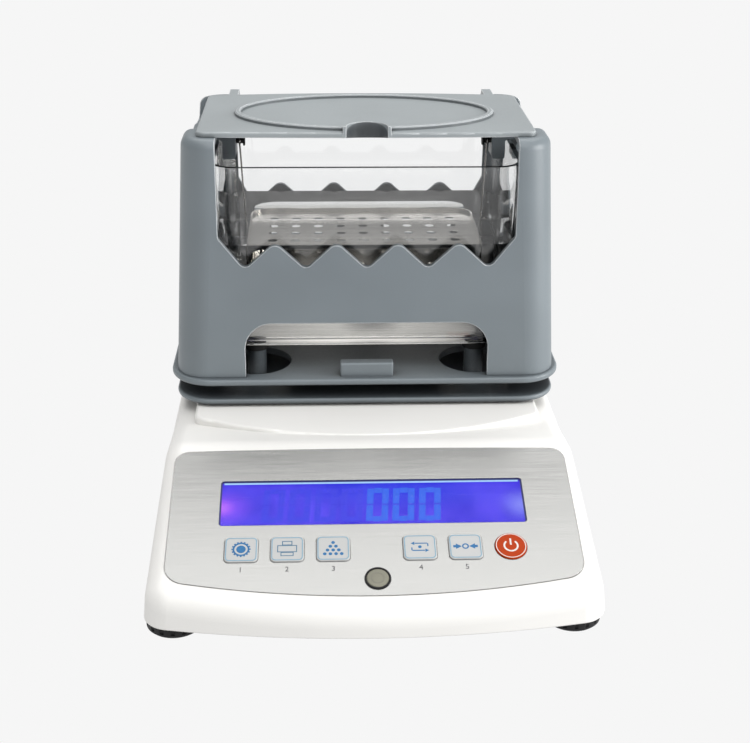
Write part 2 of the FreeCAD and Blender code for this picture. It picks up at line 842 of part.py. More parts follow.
def square_key(x):
    """One rectangular key: a flat cap with a stem down to its switch."""
    top = key_cap_top()
    bottom = top - key_cap_thickness
    outline = rounded_rectangle(key_width / 2, key_height / 2, key_corner, (x, -key_row_drop), bottom)
    cap = softened_cap(prism(outline, key_cap_thickness), top)
    half = key_stem / 2
    stem = box(x - half, x + half, -key_row_drop - half, -key_row_drop + half, stem_foot(), bottom)
    return on_panel(fused([cap, stem]))


def power_key():
    """The round key."""
    top = key_cap_top()
    bottom = top - key_cap_thickness
    place = (power_key_x, -key_row_drop)
    cap = softened_cap(rod(power_key_diameter / 2, place + (bottom,), place + (top,)), top)
    stem = rod(key_stem / 2, place + (stem_foot(),), place + (bottom,))
    return on_panel(fused([cap, stem]))


def level_vial():
    """The cup of the round spirit level."""
    top = overlay_thickness - overlay_recess + vial_proud
    centre = (controls_shift, -vial_drop)
    cup = rod(vial_diameter / 2, centre + (top - vial_height,), centre + (top,))
    floor = top - vial_height + vial_wall
    inside = rod(vial_diameter / 2 - vial_wall, centre + (floor,), centre + (top + 1,))
    return on_panel(cup.cut(inside))


def vial_glass():
    """The vial's domed window and liquid, one clear body in the cup."""
    top = overlay_thickness - overlay_recess + vial_proud
    centre = (controls_shift, -vial_drop)
    radius = vial_diameter / 2 - vial_wall
    face = top - vial_glass_drop
    body = rod(radius, centre + (top - vial_height + vial_wall,), centre + (face,))
    return on_panel(filleted(body, vial_glass_edge, lambda e: level(e, face)))


# ---- Load cell and pan ----
def chassis_plate():
    """The metal plate that the load cell is bolted to."""
    half_x, half_y = chassis_length / 2, chassis_width / 2
    plate = box(-half_x, half_x, stage_y - half_y, stage_y + half_y, chassis_z, chassis_z + chassis_thickness)
    plate = filleted(plate, chassis_corner_radius, lambda e: e.BoundBox.ZLength > chassis_thickness - 0.1)
    stop_x = cell_length / 2 - cell_end_length / 2
    return plate.cut(rod(stop_diameter / 2, (stop_x, stage_y, chassis_z - 1), (stop_x, stage_y, cell_z)))


def cell_end(sign):
    """The x range of one end block of the load cell."""
    outer = sign * cell_length / 2
    inner = sign * (cell_length / 2 - cell_end_length)
    return min(outer, inner), max(outer, inner)


def load_cell():
    """A single-point load cell: a bar with a pair of linked bores through its side."""
    half_x, half_y = cell_length / 2, cell_width / 2
    bar = box(-half_x, half_x, stage_y - half_y, stage_y + half_y, cell_z, cell_z + cell_height)
    middle_z = cell_z + cell_height / 2
    near, far = stage_y - half_y - 1, stage_y + half_y + 1
    cuts = []
    for sx in (-1, 1):
        x = sx * cell_bore_spacing / 2
        cuts.append(rod(cell_bore_diameter / 2, (x, near, middle_z), (x, far, middle_z)))
    slot = cell_bore_diameter / 4
    half_slot = cell_bore_spacing / 2
    cuts.append(box(-half_slot, half_slot, near, far, middle_z - slot, middle_z + slot))
    return bar.cut(Part.makeCompound(cuts))


def cell_base_spacer():
    """The block under the fixed end of the load cell."""
    x0, x1 = cell_end(-1)
    half_y = cell_width / 2
    return box(x0, x1, stage_y - half_y, stage_y + half_y, chassis_z + chassis_thickness, cell_z)


def cell_top_spacer():
    """The block on the loaded end of the load cell."""
    x0, x1 = cell_end(1)
    half_y = cell_width / 2
    return box(x0, x1, stage_y - half_y, stage_y + half_y, cell_z + cell_height, carrier_z)


def overload_stop():
    """A set screw that catches the loaded end before it bends too far."""
    x = cell_length / 2 - cell_end_length / 2
    return rod(stop_diameter / 2, (x, stage_y, chassis_z), (x, stage_y, cell_z - stop_gap))


def pan_carrier():
    """The arm that brings the loaded end back to the middle, with the stem through the deck."""
    x1 = cell_end(1)[1]
    half = carrier_width / 2
    plate = box(-half, x1, stage_y - half, stage_y + half, carrier_z, carrier_z + carrier_thickness)
    plate = filleted(plate, carrier_corner_radius, lambda e: e.BoundBox.ZLength > carrier_thickness - 0.1)
    return fused([plate, rod(stem_diameter / 2, (0, stage_y, carrier_z), (0, stage_y, seat_z))])


def pan_seat():
    """The disc on the stem that the pan sits on."""
    disc = rod(seat_diameter / 2, (0, stage_y, seat_z), (0, stage_y, pan_bottom_z))
    rims = [e for e in disc.Edges if level(e, seat_z) or level(e, pan_bottom_z)]
    return disc.makeChamfer(seat_chamfer, rims)


def weighing_pan():
    """The pan: a plate with four holes for the tank stand's posts and two locating blocks."""
    outline = rounded_rectangle(pan_half_width, pan_half_depth, pan_corner_radius, (0, stage_y), pan_bottom_z)
    plate = prism(outline, pan_thickness)
    plate = filleted(plate, pan_edge_radius, lambda e: level(e, pan_top_z) or level(e, pan_bottom_z))
    block_front = stage_y - frame_half_depth_bottom + key_block_inset
    half = key_block_width / 2
    block = box(-half, half, block_front, block_front + key_block_depth, pan_top_z - 1.0,
                pan_top_z + key_block_height)
    block = filleted(block, key_block_radius, lambda e: middle_of(e).z > pan_top_z)
    plate = fused([plate, block, mirrored_stage(block)])
    holes = []
    for sx in (-1, 1):
        for sy in (-1, 1):
            x, y = sx * post_x, stage_y + sy * post_y
            holes.append(rod(pan_hole_radius, (x, y, pan_bottom_z - 1), (x, y, pan_top_z + 1)))
    return plate.cut(Part.makeCompound(holes))


# ---- Tank stand ----
def tank_stand():
    """The fixed plate over the deck with the four posts that carry the tank."""
    outline = rounded_rectangle(stand_half_width, stand_half_depth, stand_corner_radius,
                                (0, stage_y), stand_bottom_z)
    plate = prism(outline, stand_thickness)
    plate = filleted(plate, stand_edge_radius, lambda e: level(e, stand_top_z) or level(e, stand_bottom_z))
    solids = [plate]
    post_top = tank_bottom_z - post_cap_wall
    for sx in (-1, 1):
        for sy in (-1, 1):
            x, y = sx * post_x, stage_y + sy * post_y
            solids.append(rod(post_diameter / 2, (x, y, stand_bottom_z), (x, y, post_top)))
            px, py = sx * stand_screw_x, stage_y + sy * stand_screw_y
            solids.append(rod(stand_pad_diameter / 2, (px, py, plateau_z), (px, py, stand_bottom_z + 1)))
    stand = fused(solids)
    hole = stem_diameter / 2 + stem_hole_clearance
    cuts = [rod(hole, (0, stage_y, plateau_z - 1), (0, stage_y, stand_top_z + 1))]
    for sx in (-1, 1):
        for sy in (-1, 1):
            x, y = sx * stand_screw_x, stage_y + sy * stand_screw_y
            screw_hole = screw_diameter / 2 + screw_clearance
            cuts.append(rod(screw_hole, (x, y, plateau_z - 1), (x, y, stand_top_z + 1)))
    return stand.cut(Part.makeCompound(cuts))


def post_caps():
    """Rubber caps on the posts that the tank stands on."""
    caps = []
    for sx in (-1, 1):
        for sy in (-1, 1):
            x, y = sx * post_x, stage_y + sy * post_y
            inside_top = tank_bottom_z - post_cap_wall
            hem = inside_top - post_cap_height
            outer = rod(post_diameter / 2 + post_cap_wall, (x, y, hem), (x, y, tank_bottom_z))
            outer = filleted(outer, post_cap_edge, lambda e: level(e, tank_bottom_z))
            inner = rod(post_diameter / 2, (x, y, hem - 1), (x, y, inside_top))
            caps.append(outer.cut(inner))
    return Part.makeCompound(caps)


def water_tank():
    """The clear open tank, drafted, with round corners."""
    half_x, half_y = tank_length / 2, tank_depth / 2
    centre = (0, stage_y)
    foot_corner = tank_corner_radius - tank_draft / 2
    rim = rounded_rectangle(half_x, half_y, tank_corner_radius, centre, tank_rim_z)
    foot_wire = rounded_rectangle(half_x - tank_draft, half_y - tank_draft, foot_corner,
                                  centre, tank_bottom_z)
    outer = Part.makeLoft([foot_wire, rim], True)
    outer = filleted(outer, tank_foot_radius, lambda e: level(e, tank_bottom_z))
    inner_rim = rounded_rectangle(half_x - tank_wall, half_y - tank_wall, tank_corner_radius - tank_wall,
                                  centre, tank_rim_z + 0.01)
    inset = tank_draft + tank_wall
    inner_foot = rounded_rectangle(half_x - inset, half_y - inset, foot_corner - tank_wall,
                                   centre, tank_bottom_z + tank_floor)
    inner = Part.makeLoft([inner_foot, inner_rim], True)
    inner = filleted(inner, tank_inner_radius, lambda e: level(e, tank_bottom_z + tank_floor))
    return outer.cut(inner)


# ---- Measuring frame ----
def frame_half_sizes(z):
    """Half the frame's outer width and depth at one height."""
    share = (frame_top_z - z) / (frame_top_z - pan_top_z)
    half_x = frame_half_width_top + share * (frame_half_width_bottom - frame_half_width_top)
    half_y = frame_half_depth_top + share * (frame_half_depth_bottom - frame_half_depth_top)
    return half_x, half_y


def frame_form(inset, top_z, bottom_z, radius):
    """The drafted box of the frame, smaller by inset on every side."""
    wires = []
    for z in (bottom_z, top_z):
        half_x, half_y = frame_half_sizes(z)
        wires.append(rounded_rectangle(half_x - inset, half_y - inset, frame_corner_radius - inset,
                                       (0, stage_y), z))
    form = Part.makeLoft(wires, True)
    return filleted(form, radius, lambda e: level(e, top_z))


def zigzag_corners(half_width, valleys, side_z):
    """The lower edge of a window from left to right, as corners for rounded_wire."""
    corners = [(-half_width, side_z, zigzag_valley_radius)]
    first = -(valleys - 1) / 2.0 * zigzag_pitch
    for i in range(valleys):
        x = first + i * zigzag_pitch
        corners.append((x, zigzag_valley_z, zigzag_valley_radius))
        if i < valleys - 1:
            corners.append((x + zigzag_pitch / 2, zigzag_peak_z, zigzag_peak_radius))
    corners.append((half_width, side_z, zigzag_valley_radius))
    return corners


def wall_window(half_width, valleys, side_z, top_z, top_radius):
    """A window's outline drawn flat: zigzag below, straight sides, level top."""
    corners = zigzag_corners(half_width, valleys, side_z)
    corners += [(half_width, top_z, top_radius), (-half_width, top_z, top_radius)]
    return rounded_wire(corners)


def through_front(wire, y0, y1):
    """A flat outline (x, z) pushed through a front or rear wall."""
    upright = wire.copy()
    upright.rotate(V(0, 0, 0), V(1, 0, 0), 90)
    upright.translate(V(0, y0, 0))
    return Part.Face(upright).extrude(V(0, y1 - y0, 0))


def through_side(wire, x0, x1, y_centre):
    """A flat outline (y, z) pushed through a side wall."""
    upright = wire.copy()
    upright.rotate(V(0, 0, 0), V(1, 1, 1), 120)
    upright.translate(V(x0, y_centre, 0))
    return Part.Face(upright).extrude(V(x1 - x0, 0, 0))


def frame_windows():
    """Everything that is cut out of the frame's four walls and roof."""
    above = frame_top_z + 5
    outside = frame_half_depth_bottom + 5
    front = wall_window(window_half_width, zigzag_valleys, window_side_z, above, 0)
    rear = wall_window(rear_window_half_width, zigzag_valleys, window_side_z, above, 0)
    low = rounded_wire([
        (-lower_opening_half_width, pan_top_z - 5, 0),
        (lower_opening_half_width, pan_top_z - 5, 0),
        (lower_opening_half_width, lower_opening_top_z, lower_opening_radius),
        (-lower_opening_half_width, lower_opening_top_z, lower_opening_radius),
    ])
    side = wall_window(side_window_half_depth, side_zigzag_valleys, window_side_z, side_beam_bottom_z,
                       side_window_corner)
    half = side_window_half_depth
    saddle = rounded_wire([
        (-half, side_beam_top_z, side_window_corner),
        (half, side_beam_top_z, side_window_corner),
        (half, above, 0),
        (-half, above, 0),
    ])
    side_y = stage_y + side_window_shift
    reach = frame_half_width_bottom + 5
    return [
        through_front(front, stage_y - outside, stage_y),
        through_front(rear, stage_y, stage_y + outside),
        through_front(low, stage_y - outside, stage_y + outside),
        through_side(side, -reach, reach, side_y),
        through_side(saddle, -reach, reach, side_y),
    ]


def hook_bracket():
    """The right-hand bracket: it passes over the tank's rim and hangs down inside the tank."""
    half = bracket_width / 2
    tongue_x = bracket_inner_x + bracket_tongue
    side_z = side_beam_bottom_z + 1.0
    outer_x = frame_half_sizes(side_z)[0] - frame_wall + bracket_bite
    drop_x = tank_length / 2 + bracket_rim_gap
    outline = rounded_wire([
        (bracket_inner_x, bracket_tip_z, 2.0),
        (tongue_x, bracket_tip_z, 1.0),
        (tongue_x, bracket_arm_z, 1.2),
        (drop_x, bracket_arm_z, 1.2),
        (outer_x - bracket_root, side_z, 0.5),
        (outer_x, side_z, 0),
        (outer_x, bracket_arm_z, 3.0),
        (drop_x, bracket_top_z, 4.0),
        (bracket_inner_x, bracket_top_z, 3.0),
    ])
    return through_front(outline, stage_y - half, stage_y + half)


def hinge_lug():
    """The right-hand lug under the frame's roof that holds the upper plate's hinge pin."""
    x0 = hinge_x + hinge_arm_width / 2 + hinge_side_gap
    half = hinge_knuckle_diameter / 2
    rear = stage_y + frame_half_depth_top
    return box(x0, x0 + hinge_lug_width, hinge_y - half - hinge_lug_wall, rear,
               lid_z - hinge_notch_depth, lid_z - hinge_lug_drop)


def measuring_frame():
    """The grey moulded frame: four drafted walls, zigzag windows, corner pillars and brackets."""
    outer = frame_form(0, frame_top_z, pan_top_z, frame_top_radius)
    inner = frame_form(frame_wall, frame_top_z - frame_wall, pan_top_z - 5, frame_top_radius - frame_wall)
    shell = outer.cut(inner)
    shell = shell.cut(Part.makeCompound(frame_windows()))
    bracket = hook_bracket()
    lug = hinge_lug().common(outer)
    frame = fused([shell, bracket, mirrored_x(bracket), lug, mirrored_x(lug)])
    cuts = []
    x0 = hinge_x - hinge_arm_width / 2 - hinge_side_gap
    x1 = hinge_x + hinge_arm_width / 2 + hinge_side_gap
    slot = box(x0, x1, hinge_y - hinge_knuckle_diameter, stage_y + frame_half_depth_bottom,
               lid_z - hinge_notch_depth, lid_z + 5)
    pin_end = x1 + hinge_lug_width
    pin_hole = rod(hinge_pin_diameter / 2, (x0, hinge_y, hinge_z), (pin_end, hinge_y, hinge_z))
    hook_end = hook_x + hook_pin_root
    hook_hole = rod(hook_pin_diameter / 2, (hook_x - 1, stage_y, hook_z), (hook_end, stage_y, hook_z))
    for tool in (slot, pin_hole, hook_hole):
        cuts += [tool, mirrored_x(tool)]
    return frame.cut(Part.makeCompound(cuts))


def hook_pins():
    """Two headed pins that the basket's wires hang on."""
    tip_x = hook_x - hook_pin_reach
    pin = rod(hook_pin_diameter / 2, (tip_x, stage_y, hook_z), (hook_x + hook_pin_root, stage_y, hook_z))
    head_face_x = tip_x - hook_head_thickness
    head = rod(hook_head_diameter / 2, (head_face_x, stage_y, hook_z), (tip_x, stage_y, hook_z))
    head = filleted(head, hook_head_edge, lambda e: abs(middle_of(e).x - head_face_x) < 0.01)
    whole = fused([pin, head])
    return Part.makeCompound([whole, mirrored_x(whole)])


def hinge_pins():
    """Two pins that the upper plate turns on."""
    x0 = hinge_x - hinge_arm_width / 2 - hinge_side_gap
    x1 = hinge_x + hinge_arm_width / 2 + hinge_side_gap + hinge_lug_width
    pin = rod(hinge_pin_diameter / 2, (x0, hinge_y, hinge_z), (x1, hinge_y, hinge_z))
    return Part.makeCompound([pin, mirrored_x(pin)])


# ---- Upper plate ----
def oval(half_x, half_y, z):
    """A flat oval wire about the ring's middle, in two halves that meet at the front and the back."""
    ellipse = Part.Ellipse(V(0, ring_centre_y, z), half_x, half_y)
    quarter = math.pi / 2
    halves = [Part.ArcOfEllipse(ellipse, -quarter, quarter), Part.ArcOfEllipse(ellipse, quarter, 3 * quarter)]
    return Part.Wire([half.toShape() for half in halves])


def notch_collar(notch_y, top):
    """The wall round the thumb notch, whose lower edge slopes down to the back."""
    radius = notch_radius + notch_wall
    collar = rod(radius, (0, notch_y, lid_z - notch_drop), (0, notch_y, top + notch_rise))
    collar = filleted(collar, notch_edge_radius, lambda e: level(e, top + notch_rise))
    above = top + notch_rise + 1
    side_view = Part.makePolygon([V(0, notch_y, above), V(0, notch_y, lid_z),
                                  V(0, notch_y + radius, lid_z - notch_drop), V(0, notch_y + radius, above),
                                  V(0, notch_y, above)])
    wedge = Part.Face(side_view).extrude(V(2 * radius, 0, 0))
    wedge.translate(V(-radius, 0, 0))
    return collar.common(wedge)


def upper_plate():
    """The weighing plate with its raised oval ring, thumb notch and two hinge arms."""
    top = lid_z + lid_thickness
    near, far = lid_front_y - lid_front_bow, lid_front_y + lid_depth + lid_rear_bow
    outline = bowed_outline(lid_width / 2, near, far, (lid_front_arc_radius, lid_rear_arc_radius),
                            (lid_corner_radius, lid_corner_radius), lid_z)
    plate = prism(outline, lid_thickness)
    plate = filleted(plate, lid_edge_radius, lambda e: level(e, top))
    ring = prism(oval(ring_half_length, ring_half_depth, top - 0.5), ring_height + 0.5)
    ring = ring.cut(prism(oval(ring_half_length - ring_width, ring_half_depth - ring_width, top - 1), 5))
    ring = ring.makeChamfer(ring_edge, [e for e in ring.Edges if level(e, top + ring_height)])
    notch_y = lid_front_y - lid_front_bow
    collar = notch_collar(notch_y, top)
    notch = rod(notch_radius, (0, notch_y, lid_z - notch_drop - 1), (0, notch_y, top + notch_rise + 1))
    plate = fused([plate, ring, collar]).cut(notch)
    half_arm = hinge_arm_width / 2
    arm_start = lid_front_y + lid_depth - hinge_arm_bite
    x0, x1 = hinge_x - half_arm, hinge_x + half_arm
    arm = box(x0, x1, arm_start, hinge_y, lid_z, top)
    knuckle = rod(hinge_knuckle_diameter / 2, (x0, hinge_y, hinge_z), (x1, hinge_y, hinge_z))
    bore = rod(hinge_pin_diameter / 2 + hinge_fit, (x0 - 1, hinge_y, hinge_z), (x1 + 1, hinge_y, hinge_z))
    arms = [arm, knuckle]
    whole = fused([plate] + arms + [mirrored_x(part) for part in arms])
    return whole.cut(Part.makeCompound([bore, mirrored_x(bore)]))


# ---- Hanging basket ----
def basket_tray():
    """The perforated tray that hangs in the water."""
    half_x, half_y = basket_length / 2, basket_depth / 2
    centre = (0, stage_y)
    outer = prism(rounded_rectangle(half_x, half_y, basket_corner_radius, centre, basket_floor_z), basket_rim)
    outer = filleted(outer, basket_edge_radius, lambda e: level(e, basket_floor_z))
    inner_corner = basket_corner_radius - basket_sheet
    inner = rounded_rectangle(half_x - basket_sheet, half_y - basket_sheet, inner_corner,
                              centre, basket_floor_z + basket_sheet)
    tray = outer.cut(prism(inner, basket_rim))
    holes = []
    for column in range(basket_hole_columns):
        for row in range(basket_hole_rows):
            x = (column - (basket_hole_columns - 1) / 2.0) * basket_hole_pitch
            y = stage_y + (row - (basket_hole_rows - 1) / 2.0) * basket_hole_pitch
            top = basket_floor_z + basket_sheet + 1
            holes.append(rod(basket_hole_diameter / 2, (x, y, basket_floor_z - 1), (x, y, top)))
    return tray.cut(Part.makeCompound(holes))


def basket_wires():
    """Two wires with eyes on the hook pins, bent down to the tray's ends."""
    radius = wire_diameter / 2
    ring_radius = hook_pin_diameter / 2 + eye_clearance + radius
    eye_x = hook_x - hook_pin_reach / 2
    eye_z = hook_z - eye_clearance + eye_gap
    eye = Part.makeTorus(ring_radius, radius, V(eye_x, stage_y, eye_z), V(1, 0, 0))
    top = V(eye_x, stage_y, eye_z - ring_radius)
    low = V(basket_length / 2 + radius, stage_y, basket_floor_z + basket_rim + wire_bend_height)
    leg = rod(radius, (top.x, top.y, top.z), (low.x, low.y, low.z))
    ball = Part.makeSphere(radius, low)
    end = V(low.x, stage_y, basket_floor_z + wire_end_height)
    clip = rod(radius, (low.x, low.y, low.z), (end.x, end.y, end.z))
    wire = fused([eye, leg, ball, clip])
    return Part.makeCompound([wire, mirrored_x(wire)])


# ---- Electronics at the back ----
def main_board():
    """The measuring board on its standoffs."""
    z = cover_top_z + main_board_standoff
    half_x, half_y = main_board_length / 2, main_board_width / 2
    return box(-half_x, half_x, main_board_y - half_y, main_board_y + half_y, z, z + board_thickness)


def dc_inlet():
    """The power inlet in the rear wall: a bored block with its centre pin."""
    half = inlet_width / 2
    back = rear_y - inlet_depth
    body = box(inlet_x - half, inlet_x + half, back, rear_y - inlet_sunk,
               port_z - inlet_height / 2, port_z + inlet_height / 2)
    body = body.cut(rod(inlet_bore / 2, (inlet_x, back + inlet_back, port_z), (inlet_x, rear_y, port_z)))
    pin_end = rear_y - inlet_pin_sunk
    pin = rod(inlet_pin / 2, (inlet_x, back + inlet_back - 1, port_z), (inlet_x, pin_end, port_z))
    return fused([body, pin])


def serial_port():
    """The nine-way data socket, sunk in the rear wall."""
    half = port_width / 2
    face = rear_y - port_flange_sunk
    flange = box(port_x - half, port_x + half, face - port_flange_thickness, face,
                 port_z - port_height / 2, port_z + port_height / 2)
    w, h = port_shell_width / 2, port_shell_height / 2
    shell_wire = rounded_wire([
        (port_x - w + port_shell_slant, port_z - h, port_shell_radius),
        (port_x + w - port_shell_slant, port_z - h, port_shell_radius),
        (port_x + w, port_z + h, port_shell_radius),
        (port_x - w, port_z + h, port_shell_radius),
    ])
    tip = rear_y - port_shell_sunk
    shell = through_front(shell_wire, face - port_shell_depth, tip)
    socket_holes = []
    for row, count in ((-1, 4), (1, 5)):
        for i in range(count):
            x = port_x + (i - (count - 1) / 2.0) * port_pin_pitch
            z = port_z + row * port_row_offset
            socket_holes.append(rod(port_pin_hole / 2, (x, face - 1, z), (x, tip + 1, z)))
    nuts = [rod(port_nut_diameter / 2, (port_x + side * port_nut_x, face, port_z),
                (port_x + side * port_nut_x, tip, port_z)) for side in (-1, 1)]
    return fused([flange, shell] + nuts).cut(Part.makeCompound(socket_holes))


NODES = {
    "upper_housing": upper_housing,
    "bottom_cover": bottom_cover,
    "foot_inserts": foot_inserts,
    "front_panel": front_panel,
    "display_lens": display_lens,
    "lcd_panel": lcd_panel,
    "lcd_backlight": lcd_backlight,
    "display_board": display_board,
    "key_switches": key_switches,
    "power_key": power_key,
    "level_vial_cup": level_vial,
    "level_vial_glass": vial_glass,
    "chassis_plate": chassis_plate,
    "load_cell": load_cell,
    "load_cell_base_spacer": cell_base_spacer,
    "load_cell_top_spacer": cell_top_spacer,
    "overload_stop": overload_stop,
    "pan_carrier": pan_carrier,
    "pan_seat": pan_seat,
    "weighing_pan": weighing_pan,
    "tank_stand": tank_stand,
    "tank_post_caps": post_caps,
    "water_tank": water_tank,
    "measuring_frame": measuring_frame,
    "basket_hook_pins": hook_pins,
    "plate_hinge_pins": hinge_pins,
    "upper_plate": upper_plate,
    "basket_tray": basket_tray,
    "basket_wires": basket_wires,
    "main_board": main_board,
    "dc_inlet": dc_inlet,
    "serial_port": serial_port,
}


def main():
    """Writes one STEP file for each node."""
    os.makedirs("parts", exist_ok=True)
    shapes = {name: build() for name, build in NODES.items()}
    for name, x in KEY_PLACES.items():
        shapes[name] = square_key(x)
    for name in FOOT_PLACES:
        shapes["foot_" + name] = foot(name)
        shapes["foot_stud_" + name] = foot_stud(name)
    for name, shape in shapes.items():
        print(name, "valid" if shape.isValid() else "NOT VALID", len(shape.Solids), round(shape.Volume, 1))
        shape.exportStep("parts/" + name + ".step")


if __name__ == "__main__":
    main()
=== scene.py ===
import json
import math

import bmesh
import bpy
from mathutils import Matrix, Vector


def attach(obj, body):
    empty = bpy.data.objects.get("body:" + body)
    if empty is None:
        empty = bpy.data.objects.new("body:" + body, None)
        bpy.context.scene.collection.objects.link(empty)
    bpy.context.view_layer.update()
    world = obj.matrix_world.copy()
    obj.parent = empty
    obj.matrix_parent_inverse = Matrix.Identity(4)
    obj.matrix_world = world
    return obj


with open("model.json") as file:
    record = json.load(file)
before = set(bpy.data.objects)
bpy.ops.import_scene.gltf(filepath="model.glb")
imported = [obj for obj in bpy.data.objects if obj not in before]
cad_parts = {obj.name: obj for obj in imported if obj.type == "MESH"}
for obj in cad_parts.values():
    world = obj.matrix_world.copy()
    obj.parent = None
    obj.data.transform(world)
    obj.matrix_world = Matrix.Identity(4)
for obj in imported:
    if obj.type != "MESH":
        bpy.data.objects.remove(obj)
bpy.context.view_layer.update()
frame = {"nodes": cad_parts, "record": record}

MM = 0.001

# ---- Sizes and places, in millimetres, in the frame of the solids ----
# Camera
CAMERA_AT = (-22.5, -614.0, 344.1)
CAMERA_YAW = 0.0433         # radians, to the right of +Y
CAMERA_PITCH = 0.4144       # below the horizon
CAMERA_ROLL = 0.0082
CAMERA_LENS = 63.53
CAMERA_SENSOR = 36.0

# Control panel: heights are out of the panel, from its slope
PANEL_SLOPE = 20.3          # degrees
DISPLAY_MIDDLE = (0.0, -81.15, 44.05)
KEY_ROW = -27.4
KEY_FACE = 1.0
SHEET_FACE = 0.3
LCD_FACE = -2.2
KEY_XS = {"set_key": -59.3, "print_key": -38.9, "enter_key": -18.5, "mode_key": 20.1, "zero_key": 40.5}
POWER_KEY_X = 60.9
KEY_OUTLINE = (13.9, 12.8, 1.9, 0.45)   # width, height, corner, line
PRINT_HEIGHT = 0.04         # of printed lines over what carries them
CAPTION_DROP = 10.9         # from a key's middle to its number
CAPTION_SIZE = 3.8
WINDOW = (140.0, 26.7, 1.5)             # width, height, corner
WINDOW_LINE = 0.7
WINDOW_GLOW = (1.5, 1.0)    # the lit upper edge: in from the sides, height
WINDOW_FACE = -0.49
# Glows behind the display: place along and up the panel, reach, colour
DISPLAY_GLOWS = (
    (10.0, 8.0, (70.0, 16.0, 16.0), (0.026, 0.055, 0.78)),
    (-68.0, -1.0, (16.0, 13.0, 13.0), (0.33, 0.085, 0.95)),
    (-70.0, -1.0, (8.0, 7.0, 7.0), (0.72, 0.22, 0.95)),
    (70.0, -1.0, (14.0, 12.0, 12.0), (0.30, 0.34, 0.95)),
)
DIGIT_SIZE = (10.0, 20.0)   # width, height
DIGIT_LINE = 3.0
DIGIT_GAPS = (3.3, 0.75)    # what a level bar and an upright bar leave free, in all
DIGIT_SLANT = 0.07
LIT_DIGIT_XS = (2.3, 14.3, 26.5)
DIM_DIGIT_XS = (-45.6, -33.6, -21.6, -9.6)
VIAL_AT = (0.8, -44.0)
VIAL_FACE = 0.8             # of the glass
VIAL_RING = (2.9, 2.55)     # outer and inner radius

# Tank and its water
WATER_Z = 136.8
TANK_FLOOR_Z = 85.5
TANK_MIDDLE_Y = 62.5
TANK_INSIDE_FOOT = (73.5, 47.5)
TANK_INSIDE_RIM = (75.0, 49.0)
TANK_RIM_Z = 176.5
TANK_CORNER = 11.0
WATER_BITE = 0.3            # how far the water's skin lies inside the tank's wall
WATER_FOOT_Z = TANK_FLOOR_Z - WATER_BITE
# Painted glow over the tank's floor, and the painted shade in it: middle, reach, fall
PAINTED_FLOOR_GLOW = ((-3.0, 40.0, WATER_FOOT_Z), (62.0, 45.0, 0.8), 0.35)
PAINTED_FLOOR_SHADE = ((3.0, 52.0, WATER_FOOT_Z), (17.0, 14.0, 1.0), 0.5)

# Thumb notch: middle, reach and fall of the shade on its inner wall, laid on twice
NOTCH_SHADES = 2 * [((0.0, 15.0, 191.0), (10.2, 10.2, 9.0), 0.2)]

# Small fasteners
COVER_Z = 11.0
COVER_SCREWS = [(side * x, y) for side in (-1, 1) for x, y in ((40.0, -122.0), (90.0, -20.0), (90.0, 78.0))]
STAND_TOP_Z = 59.9
STAND_SCREWS = [(sx * 72.0, TANK_MIDDLE_Y + sy * 45.0) for sx in (-1, 1) for sy in (-1, 1)]
SCREW_HEAD = (2.9, 2.0)     # radius, height
SCREW_EDGE = 0.6            # rounding of the head
SCREW_SHANK = (1.35, 6.0)   # radius, length under the head

# Studio
FLOOR_GLOW = 0.922
ROOM_GLOW = 0.40
FLOOR_HALF = 30.0           # metres
DOME_RADIUS = 9.0           # metres
# Lamps: place, aim and size in metres, and watts
LAMPS = {
    "overhead": ((0.0, -0.3, 1.6), (0, -0.3, 0.0), (1.6, 1.6), 12.5),
    "behind": ((0.1, 1.3, 1.75), (0, 0.05, 0.15), (2.2, 0.9), 17.0),
    "front_above": ((0.15, -1.3, 1.6), (0, 0, 0.08), (1.4, 1.0), 8.4),
    "right": ((1.4, -0.40, 0.45), (0, 0, 0.12), (0.8, 0.9), 21.0),
}

# Key marks: places are from the key's middle, and a ring is its outer and inner radius
WHEEL_RING = (3.7, 2.95)
WHEEL_HUB = 2.1
WHEEL_TEETH = 16
WHEEL_TOOTH = (0.8, 3.85)   # size, distance out
SHEET_LINE = 0.42
SHEETS = ((8.8, 3.9, 0.0), (4.6, 2.4, 3.1), (5.8, 2.2, -3.0))   # width, height, place up
HEAP_ROWS = 4
HEAP_DOT = 0.82
HEAP_TOP = 3.1
HEAP_STEP = (2.5, 2.1)      # between dots, between rows
TURN_LINE = 0.55
TURN_BAR = (5.6, 0.6, 2.0)  # length, place along and up
TURN_HOOK = (1.6, 3.6, 1.1)             # height, place along and up
TURN_ARROW = (1.1, 2.9)     # size, place along
TURN_DOT = 0.8
CENTRE_RING = (1.55, 0.9)
CENTRE_ARROW = (1.75, 3.4)  # size, place along
CENTRE_BAR = (1.4, 1.3, 4.8)            # length, height, place along
POWER_RING = (3.4, 2.6)
POWER_RING_TOP = 2.4        # the ring is open above this
POWER_BAR = (0.8, 3.6, 2.2)             # width, height, place up
POWER_EDGE = (6.75, 6.4)

# Finishes
NOISE_SPREAD = (0.3, 0.7)   # where nearly all of a noise lies
PAINTED_RIM_LIGHT_TURN = (0.99, 0.90)     # cosine between a face and its eased edge: no painted rim highlight, full painted rim highlight
PAINTED_RIM_LIGHT_OPEN = (0.70, 0.85)     # share of open sky: no painted rim highlight, full painted rim highlight
PAINTED_SHADE_OPEN = (0.80, 0.28)  # share of open sky: no painted shade, full painted shade


# ---- Colours and masks, in a material or a group ----
def stretched(tree, mask, low, high, to_low=0.0, to_high=1.0):
    """A mask stretched so that low becomes to_low, and high to_high."""
    spread = tree.nodes.new("ShaderNodeMapRange")
    spread.inputs["From Min"].default_value = low
    spread.inputs["From Max"].default_value = high
    spread.inputs["To Min"].default_value = to_low
    spread.inputs["To Max"].default_value = to_high
    tree.links.new(mask, spread.inputs["Value"])
    return spread.outputs["Result"]


